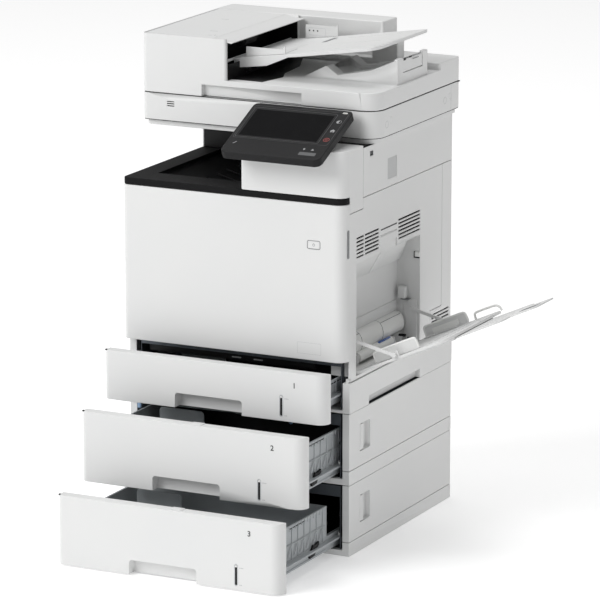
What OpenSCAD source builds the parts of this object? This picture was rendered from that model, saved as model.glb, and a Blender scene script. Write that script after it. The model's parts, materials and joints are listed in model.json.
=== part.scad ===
// Free-standing colour photocopier: a main unit on two stacked paper feeders.
// X runs to the right, Y to the back, Z up. The origin is the centre of the
// feeder's footprint, on the floor. Drawers and bypass tray stand open.

/* [Body] */
// Width over the side covers
body_w = 484; // [440:1:600]
// Depth of the feeders and the main unit behind the front covers
body_d = 480; // [440:1:600]
// Height of the main unit, from its base tray to the scanner's ledge
body_h = 456; // [430:1:560]
// Height of one paper feeder
feeder_h = 144.5; // [130:0.5:190]
// Height of the main unit's base tray
base_h = 61; // [54:1:80]
// How far the drawer fronts and the front cover stand out
front_t = 24.4; // [20:0.2:32]
// Wall of the plastic covers
wall = 3; // [2.4:0.1:4]
// Sheet steel of the frames
sheet = 1.5; // [1:0.1:2]
// Seam between neighbouring covers
seam = 1; // [0.6:0.1:1.6]
// Larger corner radius of the fronts
corner_r = 22; // [12:1:30]

/* [Scanner and document feeder] */
// Width of the scanner
scan_w = 514; // [480:1:640]
// Depth of the scanner
scan_d = 391; // [370:1:500]
// Height of the scanner's case
scan_h = 54; // [46:1:70]
// Height of the document feeder's low platform
adf_low_h = 35; // [30:1:45]
// Height of the document feeder's housing
adf_high_h = 117.5; // [105:0.5:140]
// Width of the document feeder's housing
adf_hump_w = 177; // [150:1:200]
// Platen glass, left to right
glass_w = 356; // [320:1:400]
// Platen glass, front to back
glass_d = 216; // [210:1:260]

/* [Drawers] */
// How far the top drawer stands open
open_1 = 82; // [10:1:280]
// How far the middle drawer stands open
open_2 = 177; // [10:1:280]
// How far the bottom drawer stands open
open_3 = 275; // [10:1:280]
// Depth of the paper box in a drawer
tray_d = 245; // [230:1:280]
// Wall of the paper box
tray_wall = 4; // [3:0.5:5]
// Running clearance of a sliding or turning piece
run_gap = 0.6; // [0.4:0.1:1]

/* [Bypass tray] */
// Tray's angle above the horizontal
bypass_angle = 24.5; // [10:0.5:35]
// Length of the main tray from its hinge
bypass_len = 214; // [150:1:216]
// Width of the recess that the tray folds into
bypass_w = 294; // [270:1:310]
// How far the extension stands out of the tray
bypass_out = 158; // [100:1:160]

/* [Operation panel] */
// Panel's width
panel_w = 214; // [190:1:220]
// Panel's depth along its slope
panel_d = 170; // [140:1:180]
// Panel's thickness
panel_t = 16; // [12:1:18]
// Panel's slope
panel_tilt = 24; // [15:1:30]

/* [Hidden] */
$fn = 48;
eps = 0.01;

// Colours
white = "#e6e6e6";
pale = "#c9cbcc";
dark = "#2c2c2e";
steel = "#8d9298";

// Levels and planes
hw = body_w / 2;
hd = body_d / 2;
z_upper = feeder_h;
z_base = 2 * feeder_h;
z_body = z_base + base_h;
z_ledge = z_body + body_h;
ledge_h = 10.5;
z_scan = z_ledge + ledge_h;
z_lid = z_scan + scan_h;
lid_gap = 1.5;
z_adf = z_lid + lid_gap;
y_front = -hd - front_t;
sw = scan_w / 2;
scan_back = hd - 1;
scan_front = scan_back - scan_d;
small_r = corner_r / 2;

// Fronts, measured from the main unit's foot
cover_z0 = z_body + 45;
cover_z1 = z_ledge - 99.5;
rim_z = cover_z1 + seam;
rim_top = rim_z + 13.5;
band_top = rim_z + 11.5;
column_z0 = band_top + seam;
column_z1 = z_ledge + 5;
column_x = 17.6;
column_back = -180;
frame_x = hw - 21;
frame_top = z_ledge - 126;
frame_rear = hd - 88;

// A box between two opposite corners
module block(a, b) {
    translate(a) cube(b - a);
}

// What a rounded corner at the origin takes away from a square one
module corner_waste(r) {
    difference() {
        translate([-1, -1]) square(r + 1);
        translate([r, r]) circle(r);
    }
}

// A rectangle with its own radius at each corner: front left, front right, back right, back left
module outline(a, b, radii) {
    size = b - a;
    difference() {
        translate(a) square(size);
        if (radii[0] > 0) translate(a) corner_waste(radii[0]);
        if (radii[1] > 0) translate([b[0], a[1]]) mirror([1, 0]) corner_waste(radii[1]);
        if (radii[2] > 0) translate(b) rotate(180) corner_waste(radii[2]);
        if (radii[3] > 0) translate([a[0], b[1]]) mirror([0, 1]) corner_waste(radii[3]);
    }
}

// An upright prism on such a rectangle
module prism(a, b, radii) {
    translate([0, 0, a[2]])
        linear_extrude(b[2] - a[2])
            outline([a[0], a[1]], [b[0], b[1]], radii);
}

// A prism that runs along Y, drawn in X and Z
module along_y(y0, y1) {
    translate([0, y1, 0]) rotate([90, 0, 0]) linear_extrude(y1 - y0) children();
}

// A prism that runs along X, drawn in Y and Z
module along_x(x0, x1) {
    translate([x0, 0, 0]) rotate([90, 0, 90]) linear_extrude(x1 - x0) children();
}

// A round bar along Y and one along X
module rod_y(x, z, r, y0, y1) {
    translate([x, y0, z]) rotate([-90, 0, 0]) cylinder(r = r, h = y1 - y0);
}

module rod_x(y, z, r, x0, x1) {
    translate([x0, y, z]) rotate([0, 90, 0]) cylinder(r = r, h = x1 - x0);
}

// ---------------------------------------------------------------- feeders
base_plate = 12;
base_wall_h = 28;
post_w = 15;
feeder_gap = 4.5;
pin_r = 2.5;
fit = 0.05;
hinge_x = hw - 8;
hinge_y = hd - 9;
rail_h = 30;
flange_h = 4;
tray_hw = frame_x - 13;
roller_x = frame_x - 46;
roller_r = 12;
shaft_r = 3;
feeder_tray_top = feeder_h - 36.5;
main_tray_top = 65;

// Levels of the three paper zones: the foot of each drawer front and its height
zone_z = [z_base + seam, z_upper + seam, 2];
zone_h = [100, feeder_h - 2 * seam, feeder_h - 2 - seam];
rail_z = [z_base + rail_h, z_upper + rail_h, rail_h];
tray_top = [main_tray_top, feeder_tray_top, feeder_tray_top];
opened = [open_1, open_2, open_3];
main_roller_z = z_base + 89.5;

module feeder_base(z) {
    difference() {
        prism([-hw, -hd, z], [hw, hd, z + base_wall_h], [seam, seam, seam, seam]);
        block([-hw + post_w, -hd - 1, z + base_plate], [hw - post_w, hd - wall, z + base_wall_h + 1]);
        block([-hw + 52, -hd + 40, z - 1], [hw - 52, hd - 40, z + base_plate + 1]);
        door_pin(z, base_wall_h - 9, base_wall_h + 1, fit);
        door_pin(z, -1, 9, fit);
    }
}

// The hinge pin of a feeder door, from one height in its module to another
module door_pin(z, low, high, clearance) {
    translate([hinge_x, hinge_y, z + low]) cylinder(r = pin_r + clearance, h = high - low);
}

module feeder_bases() {
    color(white) {
        feeder_base(0);
        feeder_base(z_upper);
    }
}

// Side plates, back plate, front stretcher and roller bracket of one feeder
module feeder_frame(z) {
    top = z + feeder_h - feeder_gap;
    y0 = -hd + 5;
    y1 = hd - 10;
    difference() {
        union() {
            for (side = [-1, 1]) {
                x0 = side > 0 ? frame_x - sheet : -frame_x;
                block([x0, y0, z + base_plate], [x0 + sheet, y1, top]);
                rail_x = side > 0 ? frame_x - sheet - 6 : -frame_x + sheet;
                block([rail_x, y0 + 5, z + rail_h], [rail_x + 6, y1, z + rail_h + 3]);
            }
            block([-frame_x, y1 - sheet, z + base_plate], [frame_x, y1, top]);
            block([roller_x - 35, y0, top - sheet], [frame_x, y1, top]);
            front_stretcher(z, top, y0);
            block([roller_x - 7, -88, top - 22], [roller_x + 7, -82, top]);
        }
        rod_y(roller_x, top - 15, shaft_r + fit, -89, y1 + 1);
        block([frame_x - sheet - 1, -hd + 60, z + 52], [frame_x + 1, 0, top - 20]);
        for (i = [0:3])
            rod_x(y0 + 9 + 5 * (i % 2), z + 60 + 17 * i, 2.2, -frame_x - 1, frame_x + 1);
    }
}

module front_stretcher(z, top, y) {
    translate([0, y + sheet, 0]) rotate([90, 0, 0]) linear_extrude(sheet) difference() {
        translate([-frame_x, top - 22]) square([2 * frame_x, 22]);
        translate([-60, top - 34]) square([180, 20]);
        translate([-60, top - 22]) circle(8);
        translate([120, top - 22]) circle(8);
    }
}

module feeder_frames() {
    color(steel) {
        feeder_frame(0);
        feeder_frame(z_upper);
    }
}

module feeder_left_cover(z) {
    z0 = z + base_wall_h + seam;
    z1 = z + feeder_h - seam;
    block([-hw, -hd, z0], [-hw + wall, hd, z1]);
    block([-hw, -hd, z0], [-hw + post_w, -hd + wall, z1]);
    for (y = [-hd + 60, hd - 60]) for (dz = [20, z1 - z0 - 20])
        rod_x(y, z0 + dz, 5, -hw + wall - eps, -frame_x);
}

module feeder_left_covers() {
    color(white) {
        feeder_left_cover(0);
        feeder_left_cover(z_upper);
    }
}

module feeder_rear_cover(z) {
    z0 = z + base_wall_h + seam;
    z1 = z + feeder_h - seam;
    difference() {
        union() {
            block([-hw + wall + seam, hd - wall, z0], [hw - 19, hd, z1]);
            for (x = [-hw + 60, 0, hw - 60]) for (dz = [20, z1 - z0 - 20])
                translate([x, hd - 10, z0 + dz]) rotate([-90, 0, 0]) cylinder(r = 6, h = 9);
        }
        for (x = [-hw + 60, 0, hw - 60]) for (dz = [20, z1 - z0 - 20])
            translate([x, hd - 9, z0 + dz]) rotate([-90, 0, 0]) cylinder(r = 2, h = 10);
    }
}

module feeder_rear_covers() {
    color(white) {
        feeder_rear_cover(0);
        feeder_rear_cover(z_upper);
    }
}

// A right side door: panel, front return, grip recess, hinge barrel with its pins
module feeder_door(z) {
    z0 = z + base_wall_h + seam;
    z1 = z + feeder_h - seam;
    grip = [hw - 14, -hd + 46, z0 + 26];
    difference() {
        union() {
            block([hw - wall, -hd, z0], [hw, hd - seam, z1]);
            block([hw - post_w, -hd, z0], [hw, -hd + wall, z1]);
            block(grip, [hw, grip[1] + 52, grip[2] + 62]);
            translate([hinge_x, hinge_y, z0]) cylinder(r = 6, h = z1 - z0);
            block([hinge_x, hinge_y - 6, z0], [hw, hinge_y + 6, z1]);
        }
        along_x(hw - 11, hw + 1)
            outline([grip[1] + 3, grip[2] + 3], [grip[1] + 49, grip[2] + 59], [4, 4, 4, 4]);
    }
    block([hw - 11.5, grip[1] + 5, grip[2] + 5], [hw - 0.6, grip[1] + 20, grip[2] + 57]);
    door_pin(z, base_wall_h - 7, feeder_h + 7, 0);
}

module upper_feeder_door() {
    color(white) feeder_door(z_upper);
}

module lower_feeder_door() {
    color(white) feeder_door(0);
}

// ---------------------------------------------------------------- drawers
// Child pieces of drawer i, drawn closed, are moved to where the drawer stands open
module drawn_out(i) {
    translate([0, -opened[i], 0]) children();
}

grip_x0 = -85;
grip_x1 = 61;
grip_h = 29.5;
slot_x = 147;
back_plane = -hd - seam / 2;

module drawer_front(i) {
    z0 = zone_z[i];
    z1 = z0 + zone_h[i] - seam;
    inner = y_front + wall;
    difference() {
        union() {
            difference() {
                prism([-hw, y_front, z0], [hw, back_plane, z1], [small_r, corner_r, 0, 0]);
                prism([-hw + wall, inner, z0 + wall], [hw - wall, 0, z1 - wall],
                      [small_r - wall, corner_r - wall, 0, 0]);
            }
            block([-tray_hw + 2, back_plane - wall, z0 + wall], [tray_hw - 2, back_plane, z1 - wall]);
            block([grip_x0 - wall, y_front + eps, z0],
                  [grip_x1 + wall, back_plane - eps, z0 + grip_h + wall]);
        }
        along_y(y_front - 1, back_plane - wall)
            outline([grip_x0, z0 - 20], [grip_x1, z0 + grip_h], [0, 0, 6, 6]);
        along_y(y_front - 1, inner + 1)
            outline([slot_x - 3, z0 + 10], [slot_x + 3, z0 + 51.5], [3, 3, 3, 3]);
    }
}

// The paper box, open on top, with ribbed sides, rail flanges and rear arms
module drawer_tray(i) {
    z0 = rail_z[i] - 14;
    z1 = rail_z[i] - rail_h + tray_top[i];
    front = back_plane;
    rear = front + tray_d;
    floor_z = z0 + tray_wall;
    arm_rear = i == 0 ? frame_rear - 12 : hd - 30;
    rib_n = 8;
    rib_pitch = (tray_d - 30) / rib_n;
    rows = i == 0 ? 1 : 2;
    rib_z0 = rail_z[i] + 10;
    rib_h = (z1 - rib_z0 - 4) / rows;
    difference() {
        union() {
            block([-tray_hw, front, z0], [tray_hw, rear, z1]);
            for (side = [-1, 1]) {
                x0 = side > 0 ? tray_hw - eps : -frame_x + sheet + run_gap;
                flange_w = frame_x - sheet - tray_hw - run_gap + eps;
                flange_z = rail_z[i] + 3 + run_gap;
                block([x0, front + 14, flange_z], [x0 + flange_w, arm_rear, flange_z + flange_h]);
                arm_x = side > 0 ? tray_hw - 8 : -tray_hw;
                block([arm_x, rear - 1, z0], [arm_x + 8, arm_rear, z0 + 30]);
            }
        }
        block([-tray_hw + tray_wall, front + tray_wall, floor_z],
              [tray_hw - tray_wall, rear - tray_wall, z1 + 1]);
        for (side = [-1, 1]) for (row = [0:rows - 1]) for (k = [0:rib_n - 1]) {
            x0 = side > 0 ? tray_hw - tray_wall / 2 : -tray_hw - 1;
            y0 = front + 16 + k * rib_pitch;
            pocket_z = rib_z0 + row * rib_h;
            block([x0, y0, pocket_z], [x0 + tray_wall / 2 + 1, y0 + rib_pitch - 3, pocket_z + rib_h - 3]);
        }
    }
    for (y = [front + tray_wall, rear - tray_wall - 6]) difference() {
        block([lift_x - 6, y, floor_z - eps], [lift_x + 6, y + 6, floor_z + 9]);
        rod_y(lift_x, floor_z + 4.5, 2 + fit, y - 1, y + 7);
    }
}

lift_x = -30;

module drawer_lift_plate(i) {
    floor_z = rail_z[i] - 14 + tray_wall;
    y0 = back_plane + tray_wall + 7;
    y1 = back_plane + tray_d - tray_wall - 7;
    block([lift_x, y0, floor_z + 4.5], [tray_hw - tray_wall - 6, y1, floor_z + 6]);
    rod_y(lift_x, floor_z + 4.5, 2, y0 - 5, y1 + 5);
}

guide_y = back_plane + tray_d - 64.5;

// Paper width guide on its foot
module drawer_guide(i) {
    floor_z = rail_z[i] - 14 + tray_wall;
    top = rail_z[i] - rail_h + tray_top[i] + (i == 0 ? -2 : 3);
    along_y(guide_y, guide_y + 3)
        outline([-178, floor_z + run_gap], [-79, top], [0, 0, 8, 8]);
    block([-178, guide_y, floor_z + run_gap], [-79, guide_y + 26, floor_z + run_gap + 3]);
    for (x = [-160, -97])
        along_x(x - 1.5, x + 1.5)
            polygon([[guide_y + 2, floor_z + 3], [guide_y + 24, floor_z + 3], [guide_y + 2, top - 14]]);
}

module drawer_1_front() { color(white) drawn_out(0) drawer_front(0); }
module drawer_2_front() { color(white) drawn_out(1) drawer_front(1); }
module drawer_3_front() { color(white) drawn_out(2) drawer_front(2); }
module drawer_1_tray() { color(pale) drawn_out(0) drawer_tray(0); }
module drawer_2_tray() { color(pale) drawn_out(1) drawer_tray(1); }
module drawer_3_tray() { color(pale) drawn_out(2) drawer_tray(2); }
module drawer_1_lift_plate() { color(steel) drawn_out(0) drawer_lift_plate(0); }
module drawer_2_lift_plate() { color(steel) drawn_out(1) drawer_lift_plate(1); }
module drawer_3_lift_plate() { color(steel) drawn_out(2) drawer_lift_plate(2); }
module drawer_1_guide() { color(pale) drawn_out(0) drawer_guide(0); }
module drawer_2_guide() { color(pale) drawn_out(1) drawer_guide(1); }
module drawer_3_guide() { color(pale) drawn_out(2) drawer_guide(2); }

module pickup_roller(z, rear) {
    rod_y(roller_x, z, shaft_r, -92, rear);
    rod_y(roller_x, z, roller_r, -145, -92);
}

module pickup_roller_1() { color(dark) pickup_roller(main_roller_z, frame_rear + 6); }
module pickup_roller_2() { color(dark) pickup_roller(z_upper + feeder_h - feeder_gap - 15, hd - 10.5); }
module pickup_roller_3() { color(dark) pickup_roller(feeder_h - feeder_gap - 15, hd - 10.5); }

// ---------------------------------------------------------------- main unit
// The base tray carries the main unit; its sides have grip notches for lifting
module base_tray() {
    out = 1.2;
    color(white) for (y = [-hd + seam / 2, hem_y1 + seam / 2]) difference() {
        block([door_hinge_x - hem_r, y, z_body - eps], [door_hinge_x + 1, y + ear_t, door_hinge_z + hem_r]);
        rod_y(door_hinge_x, door_hinge_z, pin_r + fit, y - 1, y + ear_t + 1);
    }
    color(white) difference() {
        prism([-hw - out, -hd, z_base], [hw + out, hd, z_body], [2, 2, 2, 2]);
        block([-hw + post_w, -hd - 1, z_base + 6], [hw - post_w, hd - wall, z_body + 1]);
        block([-hw + 52, -hd + 40, z_base - 1], [hw - 52, hd - 40, z_base + 7]);
        for (side = [-1, 1]) {
            x0 = side > 0 ? hw - 10 : -hw - out - 1;
            block([x0, -153, z_base - 1], [x0 + 12.2, 85, z_base + 18]);
        }
        door_pin(z_base, -1, 9, fit);
    }
}

front_plate_z0 = z_base + 91;
tie_z = z_base + 106;

// Front and rear plates joined by side plates, with the drawer's rails
module main_frame() {
    y0 = -hd + 8;
    y1 = frame_rear;
    z0 = z_base + 6;
    color(steel) difference() {
        union() {
            block([-frame_x, y0, front_plate_z0], [frame_x, y0 + sheet, frame_top]);
            block([-frame_x, y1 - sheet, z0], [frame_x, y1, frame_top]);
            block([-frame_x, y0, z0], [-frame_x + sheet, y1, frame_top]);
            block([frame_x - sheet, y0, z0], [frame_x, y1, z_body + 2]);
            block([frame_x - sheet, y0, z0], [frame_x, y0 + 14, frame_top]);
            block([frame_x - sheet, y1 - 14, z0], [frame_x, y1, frame_top]);
            block([frame_x - 16, y0, frame_top - 15], [frame_x, y1, frame_top]);
            block([roller_x - 35, y0, tie_z], [roller_x + 14, y1, tie_z + sheet]);
            block([roller_x - 7, -88, main_roller_z - 8], [roller_x + 7, -82, tie_z]);
            for (side = [-1, 1]) {
                x = side > 0 ? frame_x - sheet - 6 : -frame_x + sheet;
                block([x, y0 + 4, rail_z[0]], [x + 6, y1, rail_z[0] + 3]);
            }
        }
        rod_y(roller_x, main_roller_z, shaft_r + fit, -89, y1 + 1);
        block([-190, y0 - 1, z_body + 125], [150, y0 + sheet + 1, z_body + 218]);
    }
}

left_step_y = 75;

module left_cover() {
    z0 = z_body + seam;
    y1 = hd - 9;
    color(white) {
        block([-hw, -hd, z0], [-hw + wall, y1, cover_z1]);
        block([-hw, -hd, z0], [-hw + post_w, -hd + wall, cover_z1]);
        block([-hw, left_step_y + seam, z0], [-hw + wall, y1, z_ledge - seam]);
        for (y = [-hd + 60, frame_rear - 20]) for (z = [z0 + 40, frame_top - 40])
            rod_x(y, z, 5, -hw + wall - eps, -frame_x);
    }
}

back_y = hd - 5;
corner_y = 189;
corner_low_y = 134;
corner_low_z = z_body + 65;

// Back panel with the right rear corner, its vents and the inlet's window
module rear_cover() {
    z0 = z_body + seam;
    x1 = hw;
    color(white) difference() {
        union() {
            block([-hw, back_y - wall, z0], [x1, back_y, z_ledge - seam]);
            block([x1 - wall, corner_y, z0], [x1, back_y, cover_z1 + 1]);
            block([x1 - wall, corner_low_y, z0], [x1, back_y, corner_low_z]);
            for (x = [-160, 0, 160]) for (z = [z0 + 60, frame_top - 60])
                translate([x, frame_rear, z]) rotate([-90, 0, 0])
                    cylinder(r = 6, h = back_y - wall - frame_rear + eps);
        }
        for (row = [0:4])
            block([x1 - wall - 1, corner_low_y + 8, corner_low_z - 12 - 7.5 * row],
                  [x1 + 1, back_y - 10, corner_low_z - 8.5 - 7.5 * row]);
        for (row = [0:7])
            block([60, back_y - wall - 1, frame_top - 30 - 8 * row],
                  [190, back_y + 1, frame_top - 26 - 8 * row]);
        block([inlet_x - 14, back_y - wall - 1, inlet_z - 10.5],
              [inlet_x + 14, back_y + 1, inlet_z + 10.5]);
        for (x = [-160, 0, 160]) for (z = [z0 + 60, frame_top - 60])
            translate([x, back_y - 12, z]) rotate([-90, 0, 0]) cylinder(r = 2, h = 13);
    }
}

usb_y = -143;

module upper_right_cover() {
    z0 = cover_z1 + 2;
    color(white) difference() {
        union() {
            block([hw - wall, column_back + seam, z0], [hw, back_y - wall, z_ledge - seam]);
            for (y = [-100, 150]) rod_x(y, z0 + 60, 5, hw - wall - 4, hw - wall + eps);
        }
        block([hw - wall - 1, usb_y - 7, z_ledge - 22], [hw + 1, usb_y + 7, z_ledge - 12]);
        block([hw - 0.6, -70, z0 + 15], [hw + 1, -28, z0 + 57]);
    }
}

// Recess for the folded bypass tray, measured from the door's foot
recess_y0 = 84 - bypass_w;
recess_y1 = 84;
recess_z0 = z_body + 9;
recess_z1 = recess_z0 + bypass_len + 10;
recess_x = hw - 50;
tray_hinge_x = hw - 6;
tray_hinge_z = recess_z0 + 5;
hem_r = 4;
door_hinge_x = hw - hem_r;
door_hinge_z = z_body + seam + hem_r;
ear_t = 5;
hem_y0 = -hd + ear_t + seam;
hem_y1 = corner_low_y - ear_t - 2 * seam;
handle_y0 = -100;
handle_y1 = -26;
handle_z = recess_z1 + 34;

module vent(y0, y1, z0, rows) {
    for (row = [0:rows - 1])
        block([hw - wall - 1, y0, z0 + row * 7.5], [hw + 1, y1, z0 + row * 7.5 + 3.6]);
}

// Right side door: skin, recess box, handle pocket, vents, latch and foot hinge
module right_door() {
    z0 = z_body + seam;
    vent_z = recess_z1 + 10;
    color(white) {
        difference() {
            union() {
                block([hw - wall, -hd, door_hinge_z + ear_t], [hw, corner_y - seam, cover_z1 + 1]);
                block([hw - wall, hem_y0, door_hinge_z], [hw, hem_y1, door_hinge_z + ear_t + 1]);
                block([recess_x - wall, recess_y0 - wall, recess_z0 - wall],
                      [hw - eps, recess_y1 + wall, recess_z1 + wall]);
                block([hw - 22, handle_y0 - wall, recess_z1],
                      [hw - eps, handle_y1 + wall, handle_z + wall]);
                rod_y(door_hinge_x, door_hinge_z, hem_r, hem_y0, hem_y1);
            }
            block([recess_x, recess_y0, recess_z0], [hw + 1, recess_y1, recess_z1]);
            block([hw - 19, handle_y0, recess_z1 - wall - 1], [hw - 6, handle_y1, handle_z]);
            block([hw - 10, handle_y0, recess_z1 - wall - 1], [hw + 1, handle_y1, handle_z - 18]);
            block([hw - 10, handle_y0, handle_z - 3], [hw + 1, handle_y1, handle_z]);
            block([hw - wall - 1, -hd - 1, cover_z1 - 20.5], [hw + 1, column_back, cover_z1 + 2]);
            block([hw - wall - 1, corner_low_y - seam, z0 - 1], [hw + 1, corner_y, corner_low_z + seam]);
            vent(recess_y0, recess_y0 + 34, vent_z, 6);
            vent(recess_y0 + 38, handle_y0 - 8, vent_z, 6);
            vent(handle_y1 + 8, recess_y1, vent_z, 6);
            rod_y(tray_hinge_x, tray_hinge_z, shaft_r + fit, recess_y0 - wall - 1, recess_y1 + wall + 1);
        }
        rod_y(door_hinge_x, door_hinge_z, pin_r, hem_y0 - ear_t, hem_y1 + ear_t);
        for (y = [-150, 18]) difference() {
            block([bypass_roller_x - 8, y, recess_z0 - eps],
                  [bypass_roller_x + 8, y + 6, bypass_roller_z + 8]);
            rod_y(bypass_roller_x, bypass_roller_z, shaft_r + fit, y - 1, y + 7);
        }
    }
}

bypass_roller_x = recess_x + 16;
bypass_roller_z = recess_z0 + 17;

module bypass_roller() {
    color(white) {
        rod_y(bypass_roller_x, bypass_roller_z, shaft_r, -149, 23);
        rod_y(bypass_roller_x, bypass_roller_z, 11, -140, 14);
    }
}

// Front cover over the toner: a shell with ribs, hinged at its foot
module front_cover() {
    color(white) {
        difference() {
            prism([-hw, y_front, cover_z0], [hw, -hd - seam / 2, cover_z1], [small_r, corner_r, 0, 0]);
            prism([-hw + wall, y_front + wall, cover_z0 + wall], [hw - wall, 0, cover_z1 - wall],
                  [small_r - wall, corner_r - wall, 0, 0]);
            along_y(y_front - 1, y_front + wall + 1)
                outline([button_x - 13.5, button_z - 8], [button_x + 13.5, button_z + 8], [3, 3, 3, 3]);
        }
        for (x = [-150:75:120])
            block([x, y_front + wall - eps, cover_z0 + wall - eps],
                  [x + 2, -hd - 6, cover_z1 - wall + eps]);
        for (x = [-hw + 30, hw - 42])
            block([x, cover_hinge_y - 3, cover_z0], [x + 12, cover_hinge_y + 12, cover_z0 + 9]);
    }
}

cover_hinge_y = y_front + 6.5;
button_x = 176.5;
button_z = cover_z1 - 81.5;

module power_button() {
    color(pale) {
        along_y(y_front - 0.2, y_front + 4)
            outline([button_x - 12.9, button_z - 7.4], [button_x + 12.9, button_z + 7.4],
                    [2.6, 2.6, 2.6, 2.6]);
    }
}

// Column under the operation panel, with the panel's two hinge ears
module control_column() {
    back = column_back;
    color(white) {
        difference() {
            prism([column_x, y_front, column_z0], [hw, back, column_z1], [8, corner_r, 0, 0]);
            prism([column_x + wall, y_front + wall, column_z0 - 1], [hw - wall, back + 1, column_z1 - wall],
                  [8 - wall, corner_r - wall, 0, 0]);
        }
        block([hw - wall, -hd + seam, cover_z1 - 19.5], [hw, back, column_z0 + 2]);
        for (x = [panel_x + 50, panel_x + panel_w - 58]) difference() {
            union() {
                block([x, panel_hinge_y - 4, column_z1 - eps], [x + 8, panel_hinge_y + 4, panel_hinge_z]);
                rod_x(panel_hinge_y, panel_hinge_z, 4, x, x + 8);
            }
            rod_x(panel_hinge_y, panel_hinge_z, pin_r + fit, x - 1, x + 9);
        }
    }
}

tub_y0 = -203;
tub_x0 = -200;

// Black output tray: front band, rim and a sunken floor that falls to the right
module output_tray() {
    x1 = column_x - seam;
    y1 = left_step_y;
    color(dark) difference() {
        union() {
            prism([-hw, y_front, rim_z], [hw, -hd - seam, band_top], [small_r, corner_r, 0, 0]);
            difference() {
                prism([-hw, y_front, rim_z], [x1, y1, rim_top], [small_r, 0, 0, 0]);
                prism([-hw + wall, y_front + 22, rim_z - 1], [x1 + 1, y1 - wall, rim_top - 4],
                      [4, 0, 0, 0]);
            }
            along_y(tub_y0, y1) polygon([[tub_x0, rim_top], [tub_x0, rim_z + 1], [tub_x0 + 50, rim_z - 12],
                [x1, rim_z - 52], [x1, rim_top]]);
        }
        along_y(tub_y0 + wall, y1 - wall) polygon([[tub_x0 + wall, rim_top + 1], [tub_x0 + wall, rim_z + 4],
            [tub_x0 + 50, rim_z - 8.5], [x1 - wall, rim_z - 48], [x1 - wall, rim_top + 1]]);
        block([x1 - wall - 1, tub_y0 + 30, rim_top - 12], [x1 + 1, y1 - 20, rim_top + 1]);
    }
}

// Housing beside and behind the output bay, with the sheet exit
module delivery_housing() {
    x0 = -hw + wall + seam;
    x1 = hw - wall - 4;
    y_mid = left_step_y;
    y1 = back_y - wall - seam;
    z0 = rim_top + seam;
    color(dark) difference() {
        union() {
            block([column_x, column_back + seam, z0], [x1, y_mid + 10, z_ledge]);
            block([x0, y_mid, z0], [x1, y1, z_ledge]);
        }
        block([column_x + wall, column_back + seam + wall, z0 - 1], [x1 - wall, y1 - wall, z_ledge - wall]);
        block([x0 + wall, y_mid + wall, z0 - 1], [x1 - wall, y1 - wall, z_ledge - wall]);
        block([column_x - 1, -150, z0 + 24], [column_x + wall + 1, 60, z0 + 42]);
    }
}

// ---------------------------------------------------------------- bypass tray
// Pieces drawn along X from the hinge are turned to the tray's angle
module at_bypass() {
    translate([tray_hinge_x, 0, tray_hinge_z]) rotate([0, -bypass_angle, 0]) children();
}

tray_y0 = recess_y0 + 10;
tray_y1 = recess_y1 - 10;
arm_r = 95;
arm_n = 6;
arm_t = 4;

module bypass_tray() {
    color(white) at_bypass() {
        difference() {
            union() {
                prism([0, tray_y0, -5], [bypass_len, tray_y1, 0], [0, 36, 24, 0]);
                rod_y(0, 0, shaft_r, recess_y0 - wall + 1, recess_y1 + wall - 1);
                for (y = [tray_y0, tray_y1 - 5])
                    block([arm_r - 8, y, -1], [arm_r + 8, y + 5, arm_n + 6]);
                for (y = [tray_y0 + 44, tray_y1 - 48])
                    block([86, y, -10.5], [bypass_len - 8, y + 4, -4]);
                for (k = [0:4])
                    block([30, tray_y0 + 60 + 38 * k, -1], [bypass_len - 20, tray_y0 + 62 + 38 * k, 0.4]);
            }
            rod_y(arm_r, arm_n, pin_r + fit, tray_y0 - 1, tray_y1 + 1);
        }
    }
}

module bypass_extension() {
    x1 = bypass_len + bypass_out;
    x0 = x1 - 222;
    y0 = tray_y0 + 49;
    y1 = tray_y1 - 49;
    color(white) at_bypass() {
        prism([x0, y0, -9.4], [x1 - 60, y1, -6.4], [0, 20, 20, 0]);
        prism([x1 - 90, y0 + 40, -9.4], [x1, y1 - 40, -6.4], [0, 14, 14, 0]);
        for (k = [0:3])
            block([x0 + 20, y0 + 30 + 34 * k, -6.6], [x1 - 75, y0 + 32 + 34 * k, -6.1]);
    }
}

guide_in = 18;

// Side guide on the bypass tray: an upright fence on a foot
module bypass_guide(y, side) {
    foot = side > 0 ? 0 : -14;
    at_bypass() {
        block([40, y, run_gap], [140, y + 3, 22]);
        block([40, y + foot, run_gap], [120, y + foot + 17, run_gap + 2.4]);
    }
}

module bypass_front_guide() { color(white) bypass_guide(tray_y0 + guide_in, 1); }
module bypass_rear_guide() { color(white) bypass_guide(tray_y1 - guide_in - 3, -1); }

arm_anchor = [hw - 16, recess_z0 + 72];
arm_pin = [tray_hinge_x + arm_r * cos(bypass_angle) - arm_n * sin(bypass_angle),
           tray_hinge_z + arm_r * sin(bypass_angle) + arm_n * cos(bypass_angle)];
arm_vec = arm_anchor - arm_pin;
arm_len = norm(arm_vec);
arm_turn = atan2(arm_vec[1], arm_vec[0]);

// Two stay arms, each with the pin that turns in the tray's ear
module bypass_arms() {
    color(white) for (side = [0, 1]) {
        y = side == 0 ? tray_y0 - 3 - arm_t : tray_y1 + 3;
        pin_y = side == 0 ? y : tray_y1 - 5;
        rod_y(arm_pin[0], arm_pin[1], pin_r, pin_y, pin_y + arm_t + 8);
        along_y(y, y + arm_t) translate(arm_pin) rotate(arm_turn) {
            circle(5);
            translate([0, -3.3]) square([arm_len, 6.6]);
            translate([arm_len, 0]) circle(3.3);
        }
    }
}

// ---------------------------------------------------------------- scanner
glass_x0 = -150;
glass_y0 = scan_front + 80;
glass_t = 3;
strip_x0 = glass_x0 - 40;
strip_w = 20;
rail_y = 40;
scan_rail_z = z_scan + 22;
case_radii = [12, 38, 10, 10];

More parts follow.
